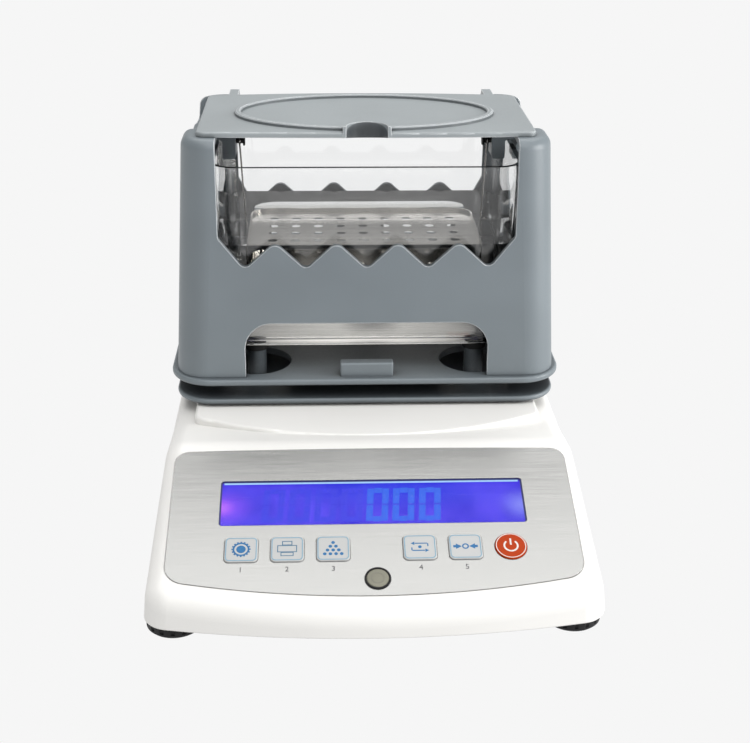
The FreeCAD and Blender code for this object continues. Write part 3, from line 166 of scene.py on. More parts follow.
def mixed_tone(tree, mask, low, high, from_value=0.35, to_value=0.65):
    """A colour that runs from low to high with a mask."""
    ramp = tree.nodes.new("ShaderNodeValToRGB")
    ramp.color_ramp.elements[0].position = from_value
    ramp.color_ramp.elements[0].color = (*low, 1.0)
    ramp.color_ramp.elements[1].position = to_value
    ramp.color_ramp.elements[1].color = (*high, 1.0)
    tree.links.new(mask, ramp.inputs["Fac"])
    return ramp.outputs["Color"]


def mixed_in(tree, mask, under, over):
    """A colour laid over another by a mask."""
    mix = tree.nodes.new("ShaderNodeMix")
    mix.data_type = "RGBA"
    tree.links.new(mask, mix.inputs["Factor"])
    for socket, colour in (("A", under), ("B", over)):
        if isinstance(colour, tuple):
            mix.inputs[socket].default_value = (*colour, 1.0)
        else:
            tree.links.new(colour, mix.inputs[socket])
    return mix.outputs["Result"]


def spot(tree, place, at, reach, power=1.6):
    """A mask that is one at a place and falls to nothing over its reach."""
    offset = tree.nodes.new("ShaderNodeVectorMath")
    offset.operation = "SUBTRACT"
    offset.inputs[1].default_value = tuple(v * MM for v in at)
    scaled = tree.nodes.new("ShaderNodeVectorMath")
    scaled.operation = "DIVIDE"
    scaled.inputs[1].default_value = tuple(v * MM for v in reach)
    far = tree.nodes.new("ShaderNodeVectorMath")
    far.operation = "LENGTH"
    fall = tree.nodes.new("ShaderNodeMath")
    fall.operation = "SUBTRACT"
    fall.use_clamp = True
    fall.inputs[0].default_value = 1.0
    curve = tree.nodes.new("ShaderNodeMath")
    curve.operation = "POWER"
    curve.inputs[1].default_value = power
    tree.links.new(place, offset.inputs[0])
    tree.links.new(offset.outputs["Vector"], scaled.inputs[0])
    tree.links.new(scaled.outputs["Vector"], far.inputs[0])
    tree.links.new(far.outputs["Value"], fall.inputs[1])
    tree.links.new(fall.outputs["Value"], curve.inputs[0])
    return curve.outputs["Value"]


# ---- Node groups that several materials share ----
def new_group(name, inputs, outputs):
    """An empty node group with sockets given as (name, type, value)."""
    group = bpy.data.node_groups.new(name, "ShaderNodeTree")
    for label, kind, value in inputs:
        socket = group.interface.new_socket(label, in_out="INPUT", socket_type=kind)
        if value is not None:
            socket.default_value = value
    for label, kind in outputs:
        group.interface.new_socket(label, in_out="OUTPUT", socket_type=kind)
    return group, group.nodes.new("NodeGroupInput"), group.nodes.new("NodeGroupOutput")


def soft_edges_group():
    """The surface's direction with its sharp edges eased over a radius."""
    group, entry, leave = new_group("soft_edges", [("Radius", "NodeSocketFloat", 0.0005)],
                                    [("Normal", "NodeSocketVector")])
    bevel = group.nodes.new("ShaderNodeBevel")
    bevel.samples = 4
    group.links.new(entry.outputs["Radius"], bevel.inputs["Radius"])
    group.links.new(bevel.outputs["Normal"], leave.inputs["Normal"])
    return group


def moulded_grain_group():
    """Spark-eroded grain of moulded plastic: a height, and a slow drift in tone."""
    group, entry, leave = new_group(
        "moulded_grain",
        [("Vector", "NodeSocketVector", None), ("Scale", "NodeSocketFloat", 1400.0)],
        [("Height", "NodeSocketFloat"), ("Drift", "NodeSocketFloat")])
    fine = group.nodes.new("ShaderNodeTexNoise")
    fine.inputs["Detail"].default_value = 3.0
    fine.inputs["Roughness"].default_value = 0.6
    slow = group.nodes.new("ShaderNodeTexNoise")
    slow.inputs["Scale"].default_value = 22.0
    slow.inputs["Detail"].default_value = 2.0
    group.links.new(entry.outputs["Vector"], fine.inputs["Vector"])
    group.links.new(entry.outputs["Scale"], fine.inputs["Scale"])
    group.links.new(entry.outputs["Vector"], slow.inputs["Vector"])
    group.links.new(fine.outputs["Fac"], leave.inputs["Height"])
    group.links.new(slow.outputs["Fac"], leave.inputs["Drift"])
    return group


def brushed_lines_group():
    """Long scratches along X, as a height and a tone."""
    group, entry, leave = new_group(
        "brushed_lines",
        [("Vector", "NodeSocketVector", None), ("Fineness", "NodeSocketFloat", 2600.0)],
        [("Height", "NodeSocketFloat"), ("Tone", "NodeSocketFloat")])
    stretch = group.nodes.new("ShaderNodeVectorMath")
    stretch.operation = "MULTIPLY"
    stretch.inputs[1].default_value = (0.012, 1.0, 1.0)
    lines = group.nodes.new("ShaderNodeTexNoise")
    lines.inputs["Detail"].default_value = 4.0
    lines.inputs["Roughness"].default_value = 0.7
    group.links.new(entry.outputs["Vector"], stretch.inputs[0])
    group.links.new(stretch.outputs["Vector"], lines.inputs["Vector"])
    group.links.new(entry.outputs["Fineness"], lines.inputs["Scale"])
    group.links.new(lines.outputs["Fac"], leave.inputs["Height"])
    group.links.new(lines.outputs["Fac"], leave.inputs["Tone"])
    return group


def rims_and_hollows_group():
    """Masks for painted light: a painted highlight along sharp edges open to the sky, and painted shade in
    recesses that keep light out.
    """
    group, entry, leave = new_group(
        "painted_rim_light_and_shade",
        [("Radius", "NodeSocketFloat", 0.0007), ("Reach", "NodeSocketFloat", 0.030)],
        [("Painted_Rim_Light", "NodeSocketFloat"), ("Painted_Shade", "NodeSocketFloat")])
    bevel = group.nodes.new("ShaderNodeBevel")
    bevel.samples = 4
    face = group.nodes.new("ShaderNodeNewGeometry")
    turn = group.nodes.new("ShaderNodeVectorMath")
    turn.operation = "DOT_PRODUCT"
    openness = group.nodes.new("ShaderNodeAmbientOcclusion")
    openness.samples = 8
    rim_light_mask = group.nodes.new("ShaderNodeMath")
    rim_light_mask.operation = "MULTIPLY"
    group.links.new(entry.outputs["Radius"], bevel.inputs["Radius"])
    group.links.new(entry.outputs["Reach"], openness.inputs["Distance"])
    group.links.new(bevel.outputs["Normal"], turn.inputs[0])
    group.links.new(face.outputs["Normal"], turn.inputs[1])
    # Painted highlight mask: sharp edges that face open sky
    group.links.new(stretched(group, turn.outputs["Value"], *PAINTED_RIM_LIGHT_TURN), rim_light_mask.inputs[0])
    group.links.new(stretched(group, openness.outputs["AO"], *PAINTED_RIM_LIGHT_OPEN), rim_light_mask.inputs[1])
    group.links.new(rim_light_mask.outputs["Value"], leave.inputs["Painted_Rim_Light"])
    # Painted shade mask: places where little sky is open
    group.links.new(stretched(group, openness.outputs["AO"], *PAINTED_SHADE_OPEN), leave.inputs["Painted_Shade"])
    return group


SOFT_EDGES = soft_edges_group()
PAINTED_RIM_LIGHT_AND_SHADE = rims_and_hollows_group()
MOULDED_GRAIN = moulded_grain_group()
BRUSHED_LINES = brushed_lines_group()


# ---- Materials ----
def new_material(name):
    """A material with an empty Principled shader and the piece's own coordinates."""
    material = bpy.data.materials.new(name)
    material.use_nodes = True
    tree = material.node_tree
    shader = tree.nodes["Principled BSDF"]
    place = tree.nodes.new("ShaderNodeTexCoord").outputs["Object"]
    return material, tree, shader, place


def add_group(tree, group, **values):
    """Places a shared group in a material."""
    node = tree.nodes.new("ShaderNodeGroup")
    node.node_tree = group
    for label, value in values.items():
        node.inputs[label].default_value = value
    return node


def bumped(tree, shader, height, depth, strength, edge_radius):
    """Feeds a height and eased edges to the shader's Normal."""
    bump = tree.nodes.new("ShaderNodeBump")
    bump.inputs["Strength"].default_value = strength
    bump.inputs["Distance"].default_value = depth
    tree.links.new(height, bump.inputs["Height"])
    if edge_radius:
        edges = add_group(tree, SOFT_EDGES, Radius=edge_radius)
        tree.links.new(edges.outputs["Normal"], bump.inputs["Normal"])
    tree.links.new(bump.outputs["Normal"], shader.inputs["Normal"])


def let_through(tree, shader, mask, colour):
    """Swaps the shader for plain see-through where the mask is one."""
    through = tree.nodes.new("ShaderNodeBsdfTransparent")
    through.inputs["Color"].default_value = (*colour, 1.0)
    mix = tree.nodes.new("ShaderNodeMixShader")
    tree.links.new(mask, mix.inputs["Fac"])
    tree.links.new(shader.outputs["BSDF"], mix.inputs[1])
    tree.links.new(through.outputs["BSDF"], mix.inputs[2])
    tree.links.new(mix.outputs["Shader"], tree.nodes["Material Output"].inputs["Surface"])


def give_off(tree, shader, colour):
    """Lets a nearly black body shine in a colour."""
    shader.inputs["Base Color"].default_value = (0.01, 0.01, 0.03, 1)
    shader.inputs["Specular IOR Level"].default_value = 0.05
    tree.links.new(colour, shader.inputs["Emission Color"])
    shader.inputs["Emission Strength"].default_value = 1.0


def moulded_plastic(name, colour, roughness, grain=1400.0, depth=0.00004, strength=0.35, edge=0.0006,
                    specular=0.5, drift=0.05, rim=None, painted_shade_colour=None, shades=()):
    """Grained plastic whose colour drifts a little and whose edges are eased, with a painted highlight on its
    rims, painted shade in its recesses and painted shade spots where given.
    """
    material, tree, shader, place = new_material(name)
    grain_node = add_group(tree, MOULDED_GRAIN, Scale=grain)
    tree.links.new(place, grain_node.inputs["Vector"])
    low = tuple(c * (1.0 - drift) for c in colour)
    high = tuple(min(1.0, c * (1.0 + drift)) for c in colour)
    tone = mixed_tone(tree, grain_node.outputs["Drift"], low, high)
    # The rim colour is a painted highlight along sharp edges, and the dark colour is painted shade in
    # recesses
    if rim:
        marks = add_group(tree, PAINTED_RIM_LIGHT_AND_SHADE)
        tone = mixed_in(tree, marks.outputs["Painted_Rim_Light"], tone, rim)
        tone = mixed_in(tree, marks.outputs["Painted_Shade"], tone, painted_shade_colour)
    # Each spot lays painted shade in the same dark colour
    for at, reach, power in shades:
        tone = mixed_in(tree, spot(tree, place, at, reach, power), tone, painted_shade_colour)
    tree.links.new(tone, shader.inputs["Base Color"])
    rough = stretched(tree, grain_node.outputs["Height"], *NOISE_SPREAD, roughness * 0.9, roughness * 1.1)
    tree.links.new(rough, shader.inputs["Roughness"])
    shader.inputs["Specular IOR Level"].default_value = specular
    bumped(tree, shader, grain_node.outputs["Height"], depth, strength, edge)
    return material


def brushed_metal(name, dark, light, roughness, metallic=1.0, fineness=2600.0, edge=0.0003, strength=0.25):
    """Metal with fine scratches along X."""
    material, tree, shader, place = new_material(name)
    lines = add_group(tree, BRUSHED_LINES, Fineness=fineness)
    tree.links.new(place, lines.inputs["Vector"])
    tree.links.new(mixed_tone(tree, lines.outputs["Tone"], dark, light), shader.inputs["Base Color"])
    rough = stretched(tree, lines.outputs["Tone"], *NOISE_SPREAD, roughness * 0.8, roughness * 1.2)
    tree.links.new(rough, shader.inputs["Roughness"])
    shader.inputs["Metallic"].default_value = metallic
    bumped(tree, shader, lines.outputs["Height"], 0.00002, strength, edge)
    return material


def grey_plastic(name, colour, shades=()):
    """The grey of the frame, the stand and the plate, with a painted highlight on its rims and painted shade
    in its recesses.
    """
    # Near-white painted highlight on rims, near-black painted shade in recesses
    return moulded_plastic(name, colour, 0.40, grain=1100.0, depth=0.00006, strength=0.5, edge=0.0007,
                           drift=0.04, rim=(0.90, 0.92, 0.93), painted_shade_colour=(0.030, 0.035, 0.040), shades=shades)


def clear_material(name, colour, ior, roughness=0.0, shade=None, ripples=0.06):
    """A see-through body that lets light through, dimmed to shade, to what is behind it."""
    material, tree, shader, place = new_material(name)
    shader.inputs["Base Color"].default_value = (*colour, 1.0)
    shader.inputs["Roughness"].default_value = roughness
    shader.inputs["IOR"].default_value = ior
    shader.inputs["Transmission Weight"].default_value = 1.0
    ripple = tree.nodes.new("ShaderNodeTexNoise")
    ripple.inputs["Scale"].default_value = 30.0
    tree.links.new(place, ripple.inputs["Vector"])
    bumped(tree, shader, ripple.outputs["Fac"], 0.0002, ripples, 0.0)
    shadow = tree.nodes.new("ShaderNodeLightPath").outputs["Is Shadow Ray"]
    let_through(tree, shader, shadow, shade or colour)
    return material


def display_light():
    """The lit liquid-crystal sheet: violet blue, clouded, with the glow of the lamps at its ends."""
    material, tree, shader, place = new_material("display_light")
    cloud = tree.nodes.new("ShaderNodeTexNoise")
    cloud.inputs["Scale"].default_value = 55.0
    cloud.inputs["Detail"].default_value = 3.0
    tree.links.new(place, cloud.inputs["Vector"])
    colour = mixed_tone(tree, cloud.outputs["Fac"], (0.040, 0.026, 0.66), (0.090, 0.060, 0.82))
    slope = math.radians(PANEL_SLOPE)
    for x, up, reach, glow in DISPLAY_GLOWS:
        at = (x, DISPLAY_MIDDLE[1] + up * math.cos(slope), DISPLAY_MIDDLE[2] + up * math.sin(slope))
        colour = mixed_in(tree, spot(tree, place, at, reach), colour, glow)
    shader.inputs["Roughness"].default_value = 0.6
    give_off(tree, shader, colour)
    return material


def water_material():
    """Water, with a painted glow over the tank's floor that stands for the light gathering there, and painted
    shade in one place of it.
    """
    material = clear_material("water", (0.93, 0.93, 0.93), 1.333, shade=(0.42, 0.42, 0.42))
    tree = material.node_tree
    shader = tree.nodes["Principled BSDF"]
    place = tree.nodes["Texture Coordinate"].outputs["Object"]
    # The glow is painted light: streaks given off by the water's floor, dimmed by painted shade in one place
    glow_streaks = add_group(tree, BRUSHED_LINES, Fineness=220.0)
    tree.links.new(place, glow_streaks.inputs["Vector"])
    light = mixed_tone(tree, glow_streaks.outputs["Tone"], (0.18, 0.176, 0.168), (0.42, 0.41, 0.38), 0.42, 0.60)
    light = mixed_in(tree, spot(tree, place, *PAINTED_FLOOR_SHADE), light, (0.05, 0.05, 0.05))
    light = mixed_in(tree, spot(tree, place, *PAINTED_FLOOR_GLOW), (0.0, 0.0, 0.0), light)
    tree.links.new(light, shader.inputs["Emission Color"])
    shader.inputs["Emission Strength"].default_value = 1.0
    return material


def printed_ink(name, colour, glow=False):
    """Ink with a slightly uneven tone, which may glow."""
    material, tree, shader, place = new_material(name)
    mottle = tree.nodes.new("ShaderNodeTexNoise")
    mottle.inputs["Scale"].default_value = 900.0
    tree.links.new(place, mottle.inputs["Vector"])
    tone = mixed_tone(tree, mottle.outputs["Fac"], tuple(c * 0.9 for c in colour), colour)
    shader.inputs["Roughness"].default_value = 0.45
    if glow:
        give_off(tree, shader, tone)
    else:
        tree.links.new(tone, shader.inputs["Base Color"])
    return material


WHITE_HOUSING = moulded_plastic("white_housing", (0.84, 0.83, 0.805), 0.50, grain=1800.0, edge=0.0008,
                                specular=0.22, drift=0.012)
GREY_FRAME = grey_plastic("grey_frame_plastic", (0.175, 0.203, 0.220))
# The plate's thumb notch gets painted shade on its inner wall
GREY_PLATE = grey_plastic("grey_plate_plastic", (0.285, 0.312, 0.322), shades=NOTCH_SHADES)
GREY_COVER = moulded_plastic("grey_cover_plastic", (0.27, 0.27, 0.27), 0.55, drift=0.06)
BLACK_PLASTIC = moulded_plastic("black_plastic", (0.012, 0.012, 0.013), 0.5, edge=0.0005, specular=0.25)
BLACK_RUBBER = moulded_plastic("black_rubber", (0.014, 0.014, 0.014), 0.75, grain=2500.0, specular=0.25)
KEY_PLASTIC = moulded_plastic("key_plastic", (0.48, 0.485, 0.48), 0.42, grain=2600.0, strength=0.15,
                              edge=0.0004, specular=0.3, drift=0.02)
ORANGE_KEY = moulded_plastic("orange_key_plastic", (0.40, 0.040, 0.004), 0.42, grain=2600.0, strength=0.15,
                             edge=0.0004, specular=0.12, drift=0.03)
CIRCUIT_BOARD = moulded_plastic("circuit_board", (0.02, 0.11, 0.05), 0.35, grain=500.0, drift=0.15)
LIGHT_GUIDE = moulded_plastic("light_guide", (0.80, 0.82, 0.84), 0.3, drift=0.02)
PANEL_METAL = brushed_metal("brushed_panel", (0.405, 0.405, 0.394), (0.455, 0.455, 0.442), 0.22, metallic=0.9,
                            strength=0.12)
TRAY_STEEL = brushed_metal("tray_steel", (0.58, 0.56, 0.53), (0.74, 0.72, 0.68), 0.13, fineness=500.0,
                           strength=0.1)
STEEL = brushed_metal("satin_steel", (0.20, 0.19, 0.18), (0.27, 0.26, 0.25), 0.14, fineness=900.0,
                      strength=0.1)
ALUMINIUM = brushed_metal("milled_aluminium", (0.66, 0.66, 0.67), (0.78, 0.78, 0.79), 0.35, fineness=1500.0)
BRASS = brushed_metal("turned_brass", (0.58, 0.40, 0.17), (0.72, 0.52, 0.25), 0.28)
TANK_PLASTIC = clear_material("clear_tank_plastic", (0.975, 0.98, 0.982), 1.49, shade=(0.62, 0.62, 0.62),
                              ripples=0.2)
WATER = water_material()
WINDOW_PLASTIC = clear_material("display_window", (0.97, 0.98, 1.0), 1.08)
VIAL_LIQUID = moulded_plastic("vial_liquid", (0.20, 0.195, 0.15), 0.12, strength=0.0, specular=0.3,
                              drift=0.30)
DISPLAY_LIGHT = display_light()
PALE_BLUE_INK = printed_ink("pale_blue_ink", (0.19, 0.34, 0.45))
GREY_BLUE_INK = printed_ink("grey_blue_ink", (0.07, 0.17, 0.27))
BLUE_INK = printed_ink("blue_ink", (0.006, 0.135, 0.34))
WHITE_INK = printed_ink("white_ink", (0.72, 0.68, 0.64))
DARK_INK = printed_ink("dark_ink", (0.05, 0.05, 0.055))
RING_INK = printed_ink("level_ring_ink", (0.16, 0.155, 0.12))
WINDOW_INK = printed_ink("window_border_ink", (0.020, 0.024, 0.17))
EDGE_GLOW = printed_ink("window_edge_glow", (0.40, 0.66, 0.97), glow=True)
LIT_SEGMENT = printed_ink("lit_segment", (0.040, 0.145, 0.82), glow=True)
DIM_SEGMENT = printed_ink("dim_segment", (0.050, 0.055, 0.78), glow=True)

OWN_FINISHES = {"basket_tray": TRAY_STEEL, "upper_plate": GREY_PLATE}
SLOT_FINISHES = {
    "white_shell": WHITE_HOUSING, "grey_cover": GREY_COVER, "brass": BRASS, "brushed_panel": PANEL_METAL,
    "clear_window": WINDOW_PLASTIC, "display": DISPLAY_LIGHT, "light_guide": LIGHT_GUIDE,
    "board_green": CIRCUIT_BOARD, "black_plastic": BLACK_PLASTIC, "rubber_black": BLACK_RUBBER,
    "grey_key": KEY_PLASTIC, "orange_key": ORANGE_KEY, "vial_liquid": VIAL_LIQUID, "steel": STEEL,
    "bare_aluminium": ALUMINIUM, "clear_tank": TANK_PLASTIC, "grey_plastic": GREY_FRAME,
}


def dress_the_solids():
    """Gives every CAD node its own finish or that of its slot in the record."""
    for part in frame["record"]["subparts"]:
        node = frame["nodes"][part["node"]]
        finish = OWN_FINISHES.get(part["node"]) or SLOT_FINISHES[part["material_slot"]]
        for material_slot in node.material_slots:
            material_slot.material = finish


# ---- Making pieces ----
def finished(name, mesh, material, body, place=None):
    """Turns a bmesh into a piece that rides on a body."""
    if place is not None:
        bmesh.ops.transform(mesh, matrix=place, verts=mesh.verts)
    bmesh.ops.remove_doubles(mesh, verts=mesh.verts, dist=1e-7)
    bmesh.ops.recalc_face_normals(mesh, faces=mesh.faces)
    data = bpy.data.meshes.new(name)
    mesh.to_mesh(data)
    mesh.free()
    data.materials.append(material)
    piece = bpy.data.objects.new(name, data)
    bpy.context.scene.collection.objects.link(piece)
    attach(piece, body)


def moved(x, y, z=0.0):
    """The matrix that moves a piece by millimetres."""
    return Matrix.Translation(Vector((x, y, z)) * MM)


def turned(degrees, axis="Z"):
    """The matrix that turns a piece by degrees."""
    return Matrix.Rotation(math.radians(degrees), 4, axis)


def panel_place(x, y, height):
    """The matrix that lays a flat drawing, in metres, on the sloped panel."""
    return moved(*DISPLAY_MIDDLE) @ turned(PANEL_SLOPE, "X") @ moved(x, y, height)


def raise_faces(mesh, faces, height):
    """Gives flat faces a thickness upwards, and returns the vertices of their tops."""
    raised = bmesh.ops.extrude_face_region(mesh, geom=faces)
    tops = [item for item in raised["geom"] if isinstance(item, bmesh.types.BMVert)]
    bmesh.ops.translate(mesh, verts=tops, vec=(0, 0, height))
    return tops


def printed(name, mesh, ink, body, place):
    """Turns a flat drawing into a thin print in its place."""
    raise_faces(mesh, list(mesh.faces), PRINT_HEIGHT * MM)
    finished(name, mesh, ink, body, place)


def rounded_rectangle(mesh, width, height, corner, segments):
    """A face in the XY plane, in millimetres, with round corners."""
    sizes = Matrix.Diagonal((width * MM, height * MM, 1, 1))
    made = bmesh.ops.create_grid(mesh, x_segments=1, y_segments=1, size=0.5, matrix=sizes)
    bmesh.ops.bevel(mesh, geom=made["verts"], offset=corner * MM, offset_type="OFFSET",
                    affect="VERTICES", segments=segments, profile=0.5, material=-1)
    return max(mesh.faces, key=lambda f: len(f.verts))


def framed(mesh, face, line):
    """Leaves of a face only a line along its edge."""
    inset = bmesh.ops.inset_region(mesh, faces=[face], thickness=line * MM, use_even_offset=True,
                                   use_boundary=True)
    bmesh.ops.delete(mesh, geom=[face], context="FACES")
    return inset["faces"]


def outlined_rectangle(width, height, corner, line):
    """A flat line round a rectangle."""
    mesh = bmesh.new()
    framed(mesh, rounded_rectangle(mesh, width, height, corner, segments=5), line)
    return mesh


def ring_faces(mesh, outer, inner, segments=32):
    """A flat ring, in millimetres."""
    disc = bmesh.ops.create_circle(mesh, cap_ends=True, radius=outer * MM, segments=segments)
    return framed(mesh, disc["verts"][0].link_faces[0], outer - inner)


def dot_faces(mesh, radius, x, y, segments=14):
    """A flat disc, in millimetres."""
    bmesh.ops.create_circle(mesh, cap_ends=True, radius=radius * MM, segments=segments, matrix=moved(x, y))


def bar_faces(mesh, width, height, x, y, turn=0.0):
    """A flat bar, in millimetres, turned by degrees about its middle."""
    place = moved(x, y) @ turned(turn) @ Matrix.Diagonal((width * MM, height * MM, 1, 1))
    bmesh.ops.create_grid(mesh, x_segments=1, y_segments=1, size=0.5, matrix=place)


def arrow_faces(mesh, size, x, y, turn):
    """A flat triangle that points along turn degrees."""
    place = moved(x, y) @ turned(turn) @ turned(-90)
    bmesh.ops.create_circle(mesh, cap_ends=True, radius=size * MM, segments=3, matrix=place)


# ---- The marks on the keys ----
def wheel_mark(mesh):
    """A toothed wheel round a hub."""
    ring_faces(mesh, *WHEEL_RING)
    size, out = WHEEL_TOOTH
    for i in range(WHEEL_TEETH):
        turn = 360.0 * i / WHEEL_TEETH
        angle = math.radians(turn)
        bar_faces(mesh, size, size, out * math.cos(angle), out * math.sin(angle), turn)
    dot_faces(mesh, WHEEL_HUB, 0, 0, segments=28)


def sheet_mark(mesh):
    """A tray with a sheet above and below it, in outline."""
    for width, height, y in SHEETS:
        for side in (-1, 1):
            bar_faces(mesh, width, SHEET_LINE, 0, y + side * (height - SHEET_LINE) / 2)
            bar_faces(mesh, SHEET_LINE, height - 2 * SHEET_LINE, side * (width - SHEET_LINE) / 2, y)


def heap_mark(mesh):
    """Dots heaped in a triangle."""
    along, down = HEAP_STEP
    for row in range(HEAP_ROWS):
        for i in range(row + 1):
            dot_faces(mesh, HEAP_DOT, (i - row / 2.0) * along, HEAP_TOP - row * down)


def turn_mark(mesh):
    """Two arrows that chase each other round a dot."""
    length, bar_x, bar_y = TURN_BAR
    height, hook_x, hook_y = TURN_HOOK
    size, arrow_x = TURN_ARROW
    for side in (-1, 1):
        bar_faces(mesh, length, TURN_LINE, side * bar_x, side * bar_y)
        bar_faces(mesh, TURN_LINE, height, side * hook_x, side * hook_y)
        arrow_faces(mesh, size, -side * arrow_x, side * bar_y, 180 if side > 0 else 0)
    dot_faces(mesh, TURN_DOT, 0, 0)


def centre_mark(mesh):
    """Two arrows that point at a ring."""
    ring_faces(mesh, *CENTRE_RING, segments=24)
    size, arrow_x = CENTRE_ARROW
    length, height, bar_x = CENTRE_BAR
    for side in (-1, 1):
        arrow_faces(mesh, size, side * arrow_x, 0, 180 if side > 0 else 0)
        bar_faces(mesh, length, height, side * bar_x, 0)


def number_mesh(text, size):
    """A printed number as a thin solid, in the XY plane."""
    curve = bpy.data.curves.new("number", "FONT")
    curve.body = text
    curve.size = size * MM
    curve.align_x = "CENTER"
    curve.align_y = "CENTER"
    curve.extrude = PRINT_HEIGHT * MM
    holder = bpy.data.objects.new("number", curve)
    data = bpy.data.meshes.new_from_object(holder)
    mesh = bmesh.new()
    mesh.from_mesh(data)
    bpy.data.objects.remove(holder)
    bpy.data.curves.remove(curve)
    bpy.data.meshes.remove(data)
    return mesh


# What is drawn on each key, and in which ink
KEY_MARKS = {
    "set_key": (wheel_mark, BLUE_INK),
    "print_key": (sheet_mark, GREY_BLUE_INK),
    "enter_key": (heap_mark, BLUE_INK),
    "mode_key": (turn_mark, BLUE_INK),
    "zero_key": (centre_mark, BLUE_INK),
}


def key_prints():
    """The outline and the mark on each square key, and a plain number under it."""
    for number, (key, x) in enumerate(KEY_XS.items(), start=1):
        key_top = panel_place(x, KEY_ROW, KEY_FACE)
        printed(key + "_outline", outlined_rectangle(*KEY_OUTLINE), PALE_BLUE_INK, key, key_top)
        draw, ink = KEY_MARKS[key]
        mark = bmesh.new()
        draw(mark)
        printed(key + "_mark", mark, ink, key, key_top)
        caption = number_mesh(str(number), CAPTION_SIZE)
        finished(key + "_number", caption, DARK_INK, "base",
                 panel_place(x, KEY_ROW - CAPTION_DROP, SHEET_FACE))


def power_print():
    """The broken ring and bar on the round key, and the ring round its edge."""
    key_top = panel_place(POWER_KEY_X, KEY_ROW, KEY_FACE)
    mark = bmesh.new()
    faces = ring_faces(mark, *POWER_RING, segments=36)
    gap = [f for f in faces if f.calc_center_median().y > POWER_RING_TOP * MM]
    bmesh.ops.delete(mark, geom=gap, context="FACES")
    width, height, y = POWER_BAR
    bar_faces(mark, width, height, 0, y)
    printed("power_key_mark", mark, WHITE_INK, "power_key", key_top)
    edge = bmesh.new()
    ring_faces(edge, *POWER_EDGE, segments=48)
    printed("power_key_outline", edge, WHITE_INK, "power_key", key_top)


# ---- The display's figures ----
def nought_faces(mesh, x):
    """A nought of the six outer segments of a digit, whose sides nearly meet."""
    width, height = DIGIT_SIZE
    level_gap, upright_gap = DIGIT_GAPS
    for side in (-1, 1):
        bar_faces(mesh, width - DIGIT_LINE - level_gap, DIGIT_LINE, x, side * (height - DIGIT_LINE) / 2)
    for side in (-1, 1):
        for y in (-height / 4, height / 4):
            bar_faces(mesh, DIGIT_LINE, height / 2 - upright_gap, x + side * (width - DIGIT_LINE) / 2, y)


def display_figures():
    """Bright and faint noughts just over the liquid-crystal sheet."""
    slant = Matrix.Identity(4)
    slant[0][1] = DIGIT_SLANT
    for name, places, material in (("display_figures", LIT_DIGIT_XS, LIT_SEGMENT),
                                   ("display_faint_figures", DIM_DIGIT_XS, DIM_SEGMENT)):
        mesh = bmesh.new()
        for x in places:
            nought_faces(mesh, x)
        printed(name, mesh, material, "base", panel_place(0, 0, LCD_FACE) @ slant)


def window_border():
    """The dark line round the display window, and the light along its upper edge."""
    width, height, corner = WINDOW
    inset, glow = WINDOW_GLOW
    window_back = panel_place(0, 0, WINDOW_FACE)
    border = outlined_rectangle(width, height, corner, WINDOW_LINE)
    printed("window_border", border, WINDOW_INK, "base", window_back)
    edge = bmesh.new()
    bar_faces(edge, width - 2 * inset, glow, 0, (height - glow) / 2 - WINDOW_LINE)
    printed("window_edge_light", edge, EDGE_GLOW, "base", window_back)


# ---- The round level ----
def level_ring():
    """The ring printed on the round level's glass."""
    ring = bmesh.new()
    ring_faces(ring, *VIAL_RING, segments=40)
    printed("level_ring", ring, RING_INK, "base", panel_place(*VIAL_AT, VIAL_FACE))


# ---- Water ----
def water_body():
    """The water in the tank, whose skin lies a little way into the tank's walls."""
    rise = (WATER_Z - TANK_FLOOR_Z) / (TANK_RIM_Z - TANK_FLOOR_Z)
    foot = [half + WATER_BITE for half in TANK_INSIDE_FOOT]
    top = [low + (high - low) * rise + WATER_BITE for low, high in zip(TANK_INSIDE_FOOT, TANK_INSIDE_RIM)]
    mesh = bmesh.new()
    face = rounded_rectangle(mesh, 2 * foot[0], 2 * foot[1], TANK_CORNER, segments=12)
    tops = raise_faces(mesh, [face], (WATER_Z - WATER_FOOT_Z) * MM)
    bmesh.ops.scale(mesh, vec=(top[0] / foot[0], top[1] / foot[1], 1), verts=tops)
    finished("water", mesh, WATER, "base", moved(0, TANK_MIDDLE_Y, WATER_FOOT_Z))


# ---- Small fasteners ----
def rod(mesh, radius, length, place, segments):
    """An upright cylinder, in millimetres."""
    made = bmesh.ops.create_cone(mesh, cap_ends=True, segments=segments, radius1=radius * MM,
                                 radius2=radius * MM, depth=length * MM, matrix=place)
    return made["verts"]


def pan_screws(name, places, face_z, direction):
    """Pan-head screws on a face, with their shanks in it. They point down where direction is -1."""
    radius, height = SCREW_HEAD
    shank_radius, shank_length = SCREW_SHANK
    head_top = (face_z + direction * height) * MM
    mesh = bmesh.new()
    for x, y in places:
        head = rod(mesh, radius, height, moved(x, y, face_z + direction * height / 2), segments=20)
        edges = dict.fromkeys(e for v in head for e in v.link_edges)
        rim = [e for e in edges if all(abs(p.co.z - head_top) < 1e-6 for p in e.verts)]
        bmesh.ops.bevel(mesh, geom=rim, offset=SCREW_EDGE * MM, offset_type="OFFSET", affect="EDGES",
                        segments=3, profile=0.5, material=-1)
        rod(mesh, shank_radius, shank_length, moved(x, y, face_z - direction * shank_length / 2), segments=12)
    finished(name, mesh, STEEL, "base")


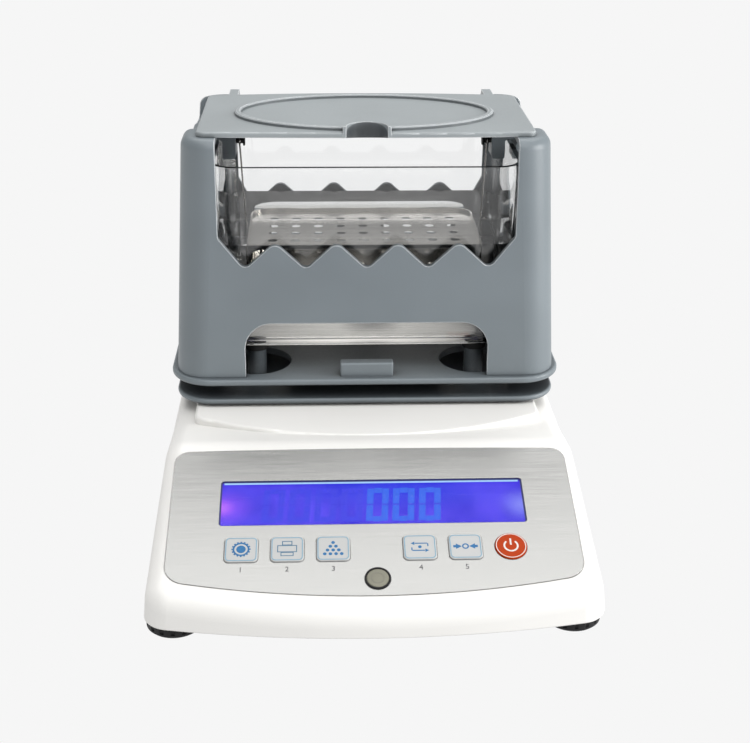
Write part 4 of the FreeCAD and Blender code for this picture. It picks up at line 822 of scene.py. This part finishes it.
# ---- The studio ----
def studio_surface(name, mesh, one_sided):
    """An evenly lit pale surface without shadows, which may be seen through from behind."""
    material, tree, shader, _ = new_material(name)
    shader.inputs["Base Color"].default_value = (0.0, 0.0, 0.0, 1)
    shader.inputs["Specular IOR Level"].default_value = 0.0
    shader.inputs["Emission Color"].default_value = (1.0, 1.0, 1.0, 1)
    shader.inputs["Emission Strength"].default_value = FLOOR_GLOW
    if one_sided:
        behind = tree.nodes.new("ShaderNodeNewGeometry").outputs["Backfacing"]
        let_through(tree, shader, behind, (1.0, 1.0, 1.0))
    data = bpy.data.meshes.new(name)
    mesh.to_mesh(data)
    mesh.free()
    data.materials.append(material)
    surface = bpy.data.objects.new(name, data)
    bpy.context.scene.collection.objects.link(surface)
    return surface


def studio_room():
    """The floor, and a dome beyond the lamps that only shows and lights nothing."""
    floor = bmesh.new()
    bmesh.ops.create_grid(floor, x_segments=1, y_segments=1, size=FLOOR_HALF)
    studio_surface("studio_floor", floor, True)
    dome = bmesh.new()
    bmesh.ops.create_uvsphere(dome, u_segments=48, v_segments=24, radius=DOME_RADIUS)
    backdrop = studio_surface("studio_dome", dome, False)
    backdrop.visible_diffuse = False
    backdrop.visible_glossy = False
    backdrop.visible_transmission = False
    backdrop.visible_shadow = False


def soft_light(name, at, towards, size, power):
    """A large rectangular lamp that points at a place."""
    data = bpy.data.lights.new(name, "AREA")
    data.shape = "RECTANGLE"
    data.size, data.size_y = size
    data.energy = power
    lamp = bpy.data.objects.new(name, data)
    lamp.location = at
    lamp.rotation_euler = (Vector(towards) - Vector(at)).to_track_quat("-Z", "Y").to_euler()
    bpy.context.scene.collection.objects.link(lamp)


def studio_light():
    """An even white room and the soft lamps."""
    bpy.context.scene.view_settings.view_transform = "Standard"
    world = bpy.data.worlds.new("studio")
    world.use_nodes = True
    background = world.node_tree.nodes["Background"]
    background.inputs["Color"].default_value = (1.0, 1.0, 1.0, 1)
    background.inputs["Strength"].default_value = ROOM_GLOW
    bpy.context.scene.world = world
    for name, lamp in LAMPS.items():
        soft_light(name, *lamp)


def studio_camera():
    """The camera, above the front of the object."""
    data = bpy.data.cameras.new("camera")
    data.lens = CAMERA_LENS
    data.sensor_width = CAMERA_SENSOR
    data.sensor_fit = "HORIZONTAL"
    forward = Vector((math.sin(CAMERA_YAW), math.cos(CAMERA_YAW), 0))
    level = Vector((forward.y, -forward.x, 0))
    ahead = forward * math.cos(CAMERA_PITCH) - Vector((0, 0, math.sin(CAMERA_PITCH)))
    upward = level.cross(ahead)
    right = level * math.cos(CAMERA_ROLL) + upward * math.sin(CAMERA_ROLL)
    up = -level * math.sin(CAMERA_ROLL) + upward * math.cos(CAMERA_ROLL)
    camera = bpy.data.objects.new("camera", data)
    turn = Matrix((right, up, -ahead)).transposed().to_4x4()
    camera.matrix_world = moved(*CAMERA_AT) @ turn
    bpy.context.scene.collection.objects.link(camera)
    bpy.context.scene.camera = camera


studio_camera()
studio_room()
studio_light()
dress_the_solids()
key_prints()
power_print()
display_figures()
window_border()
level_ring()
water_body()
pan_screws("cover_screws", COVER_SCREWS, COVER_Z, -1)
pan_screws("stand_screws", STAND_SCREWS, STAND_TOP_Z, 1)
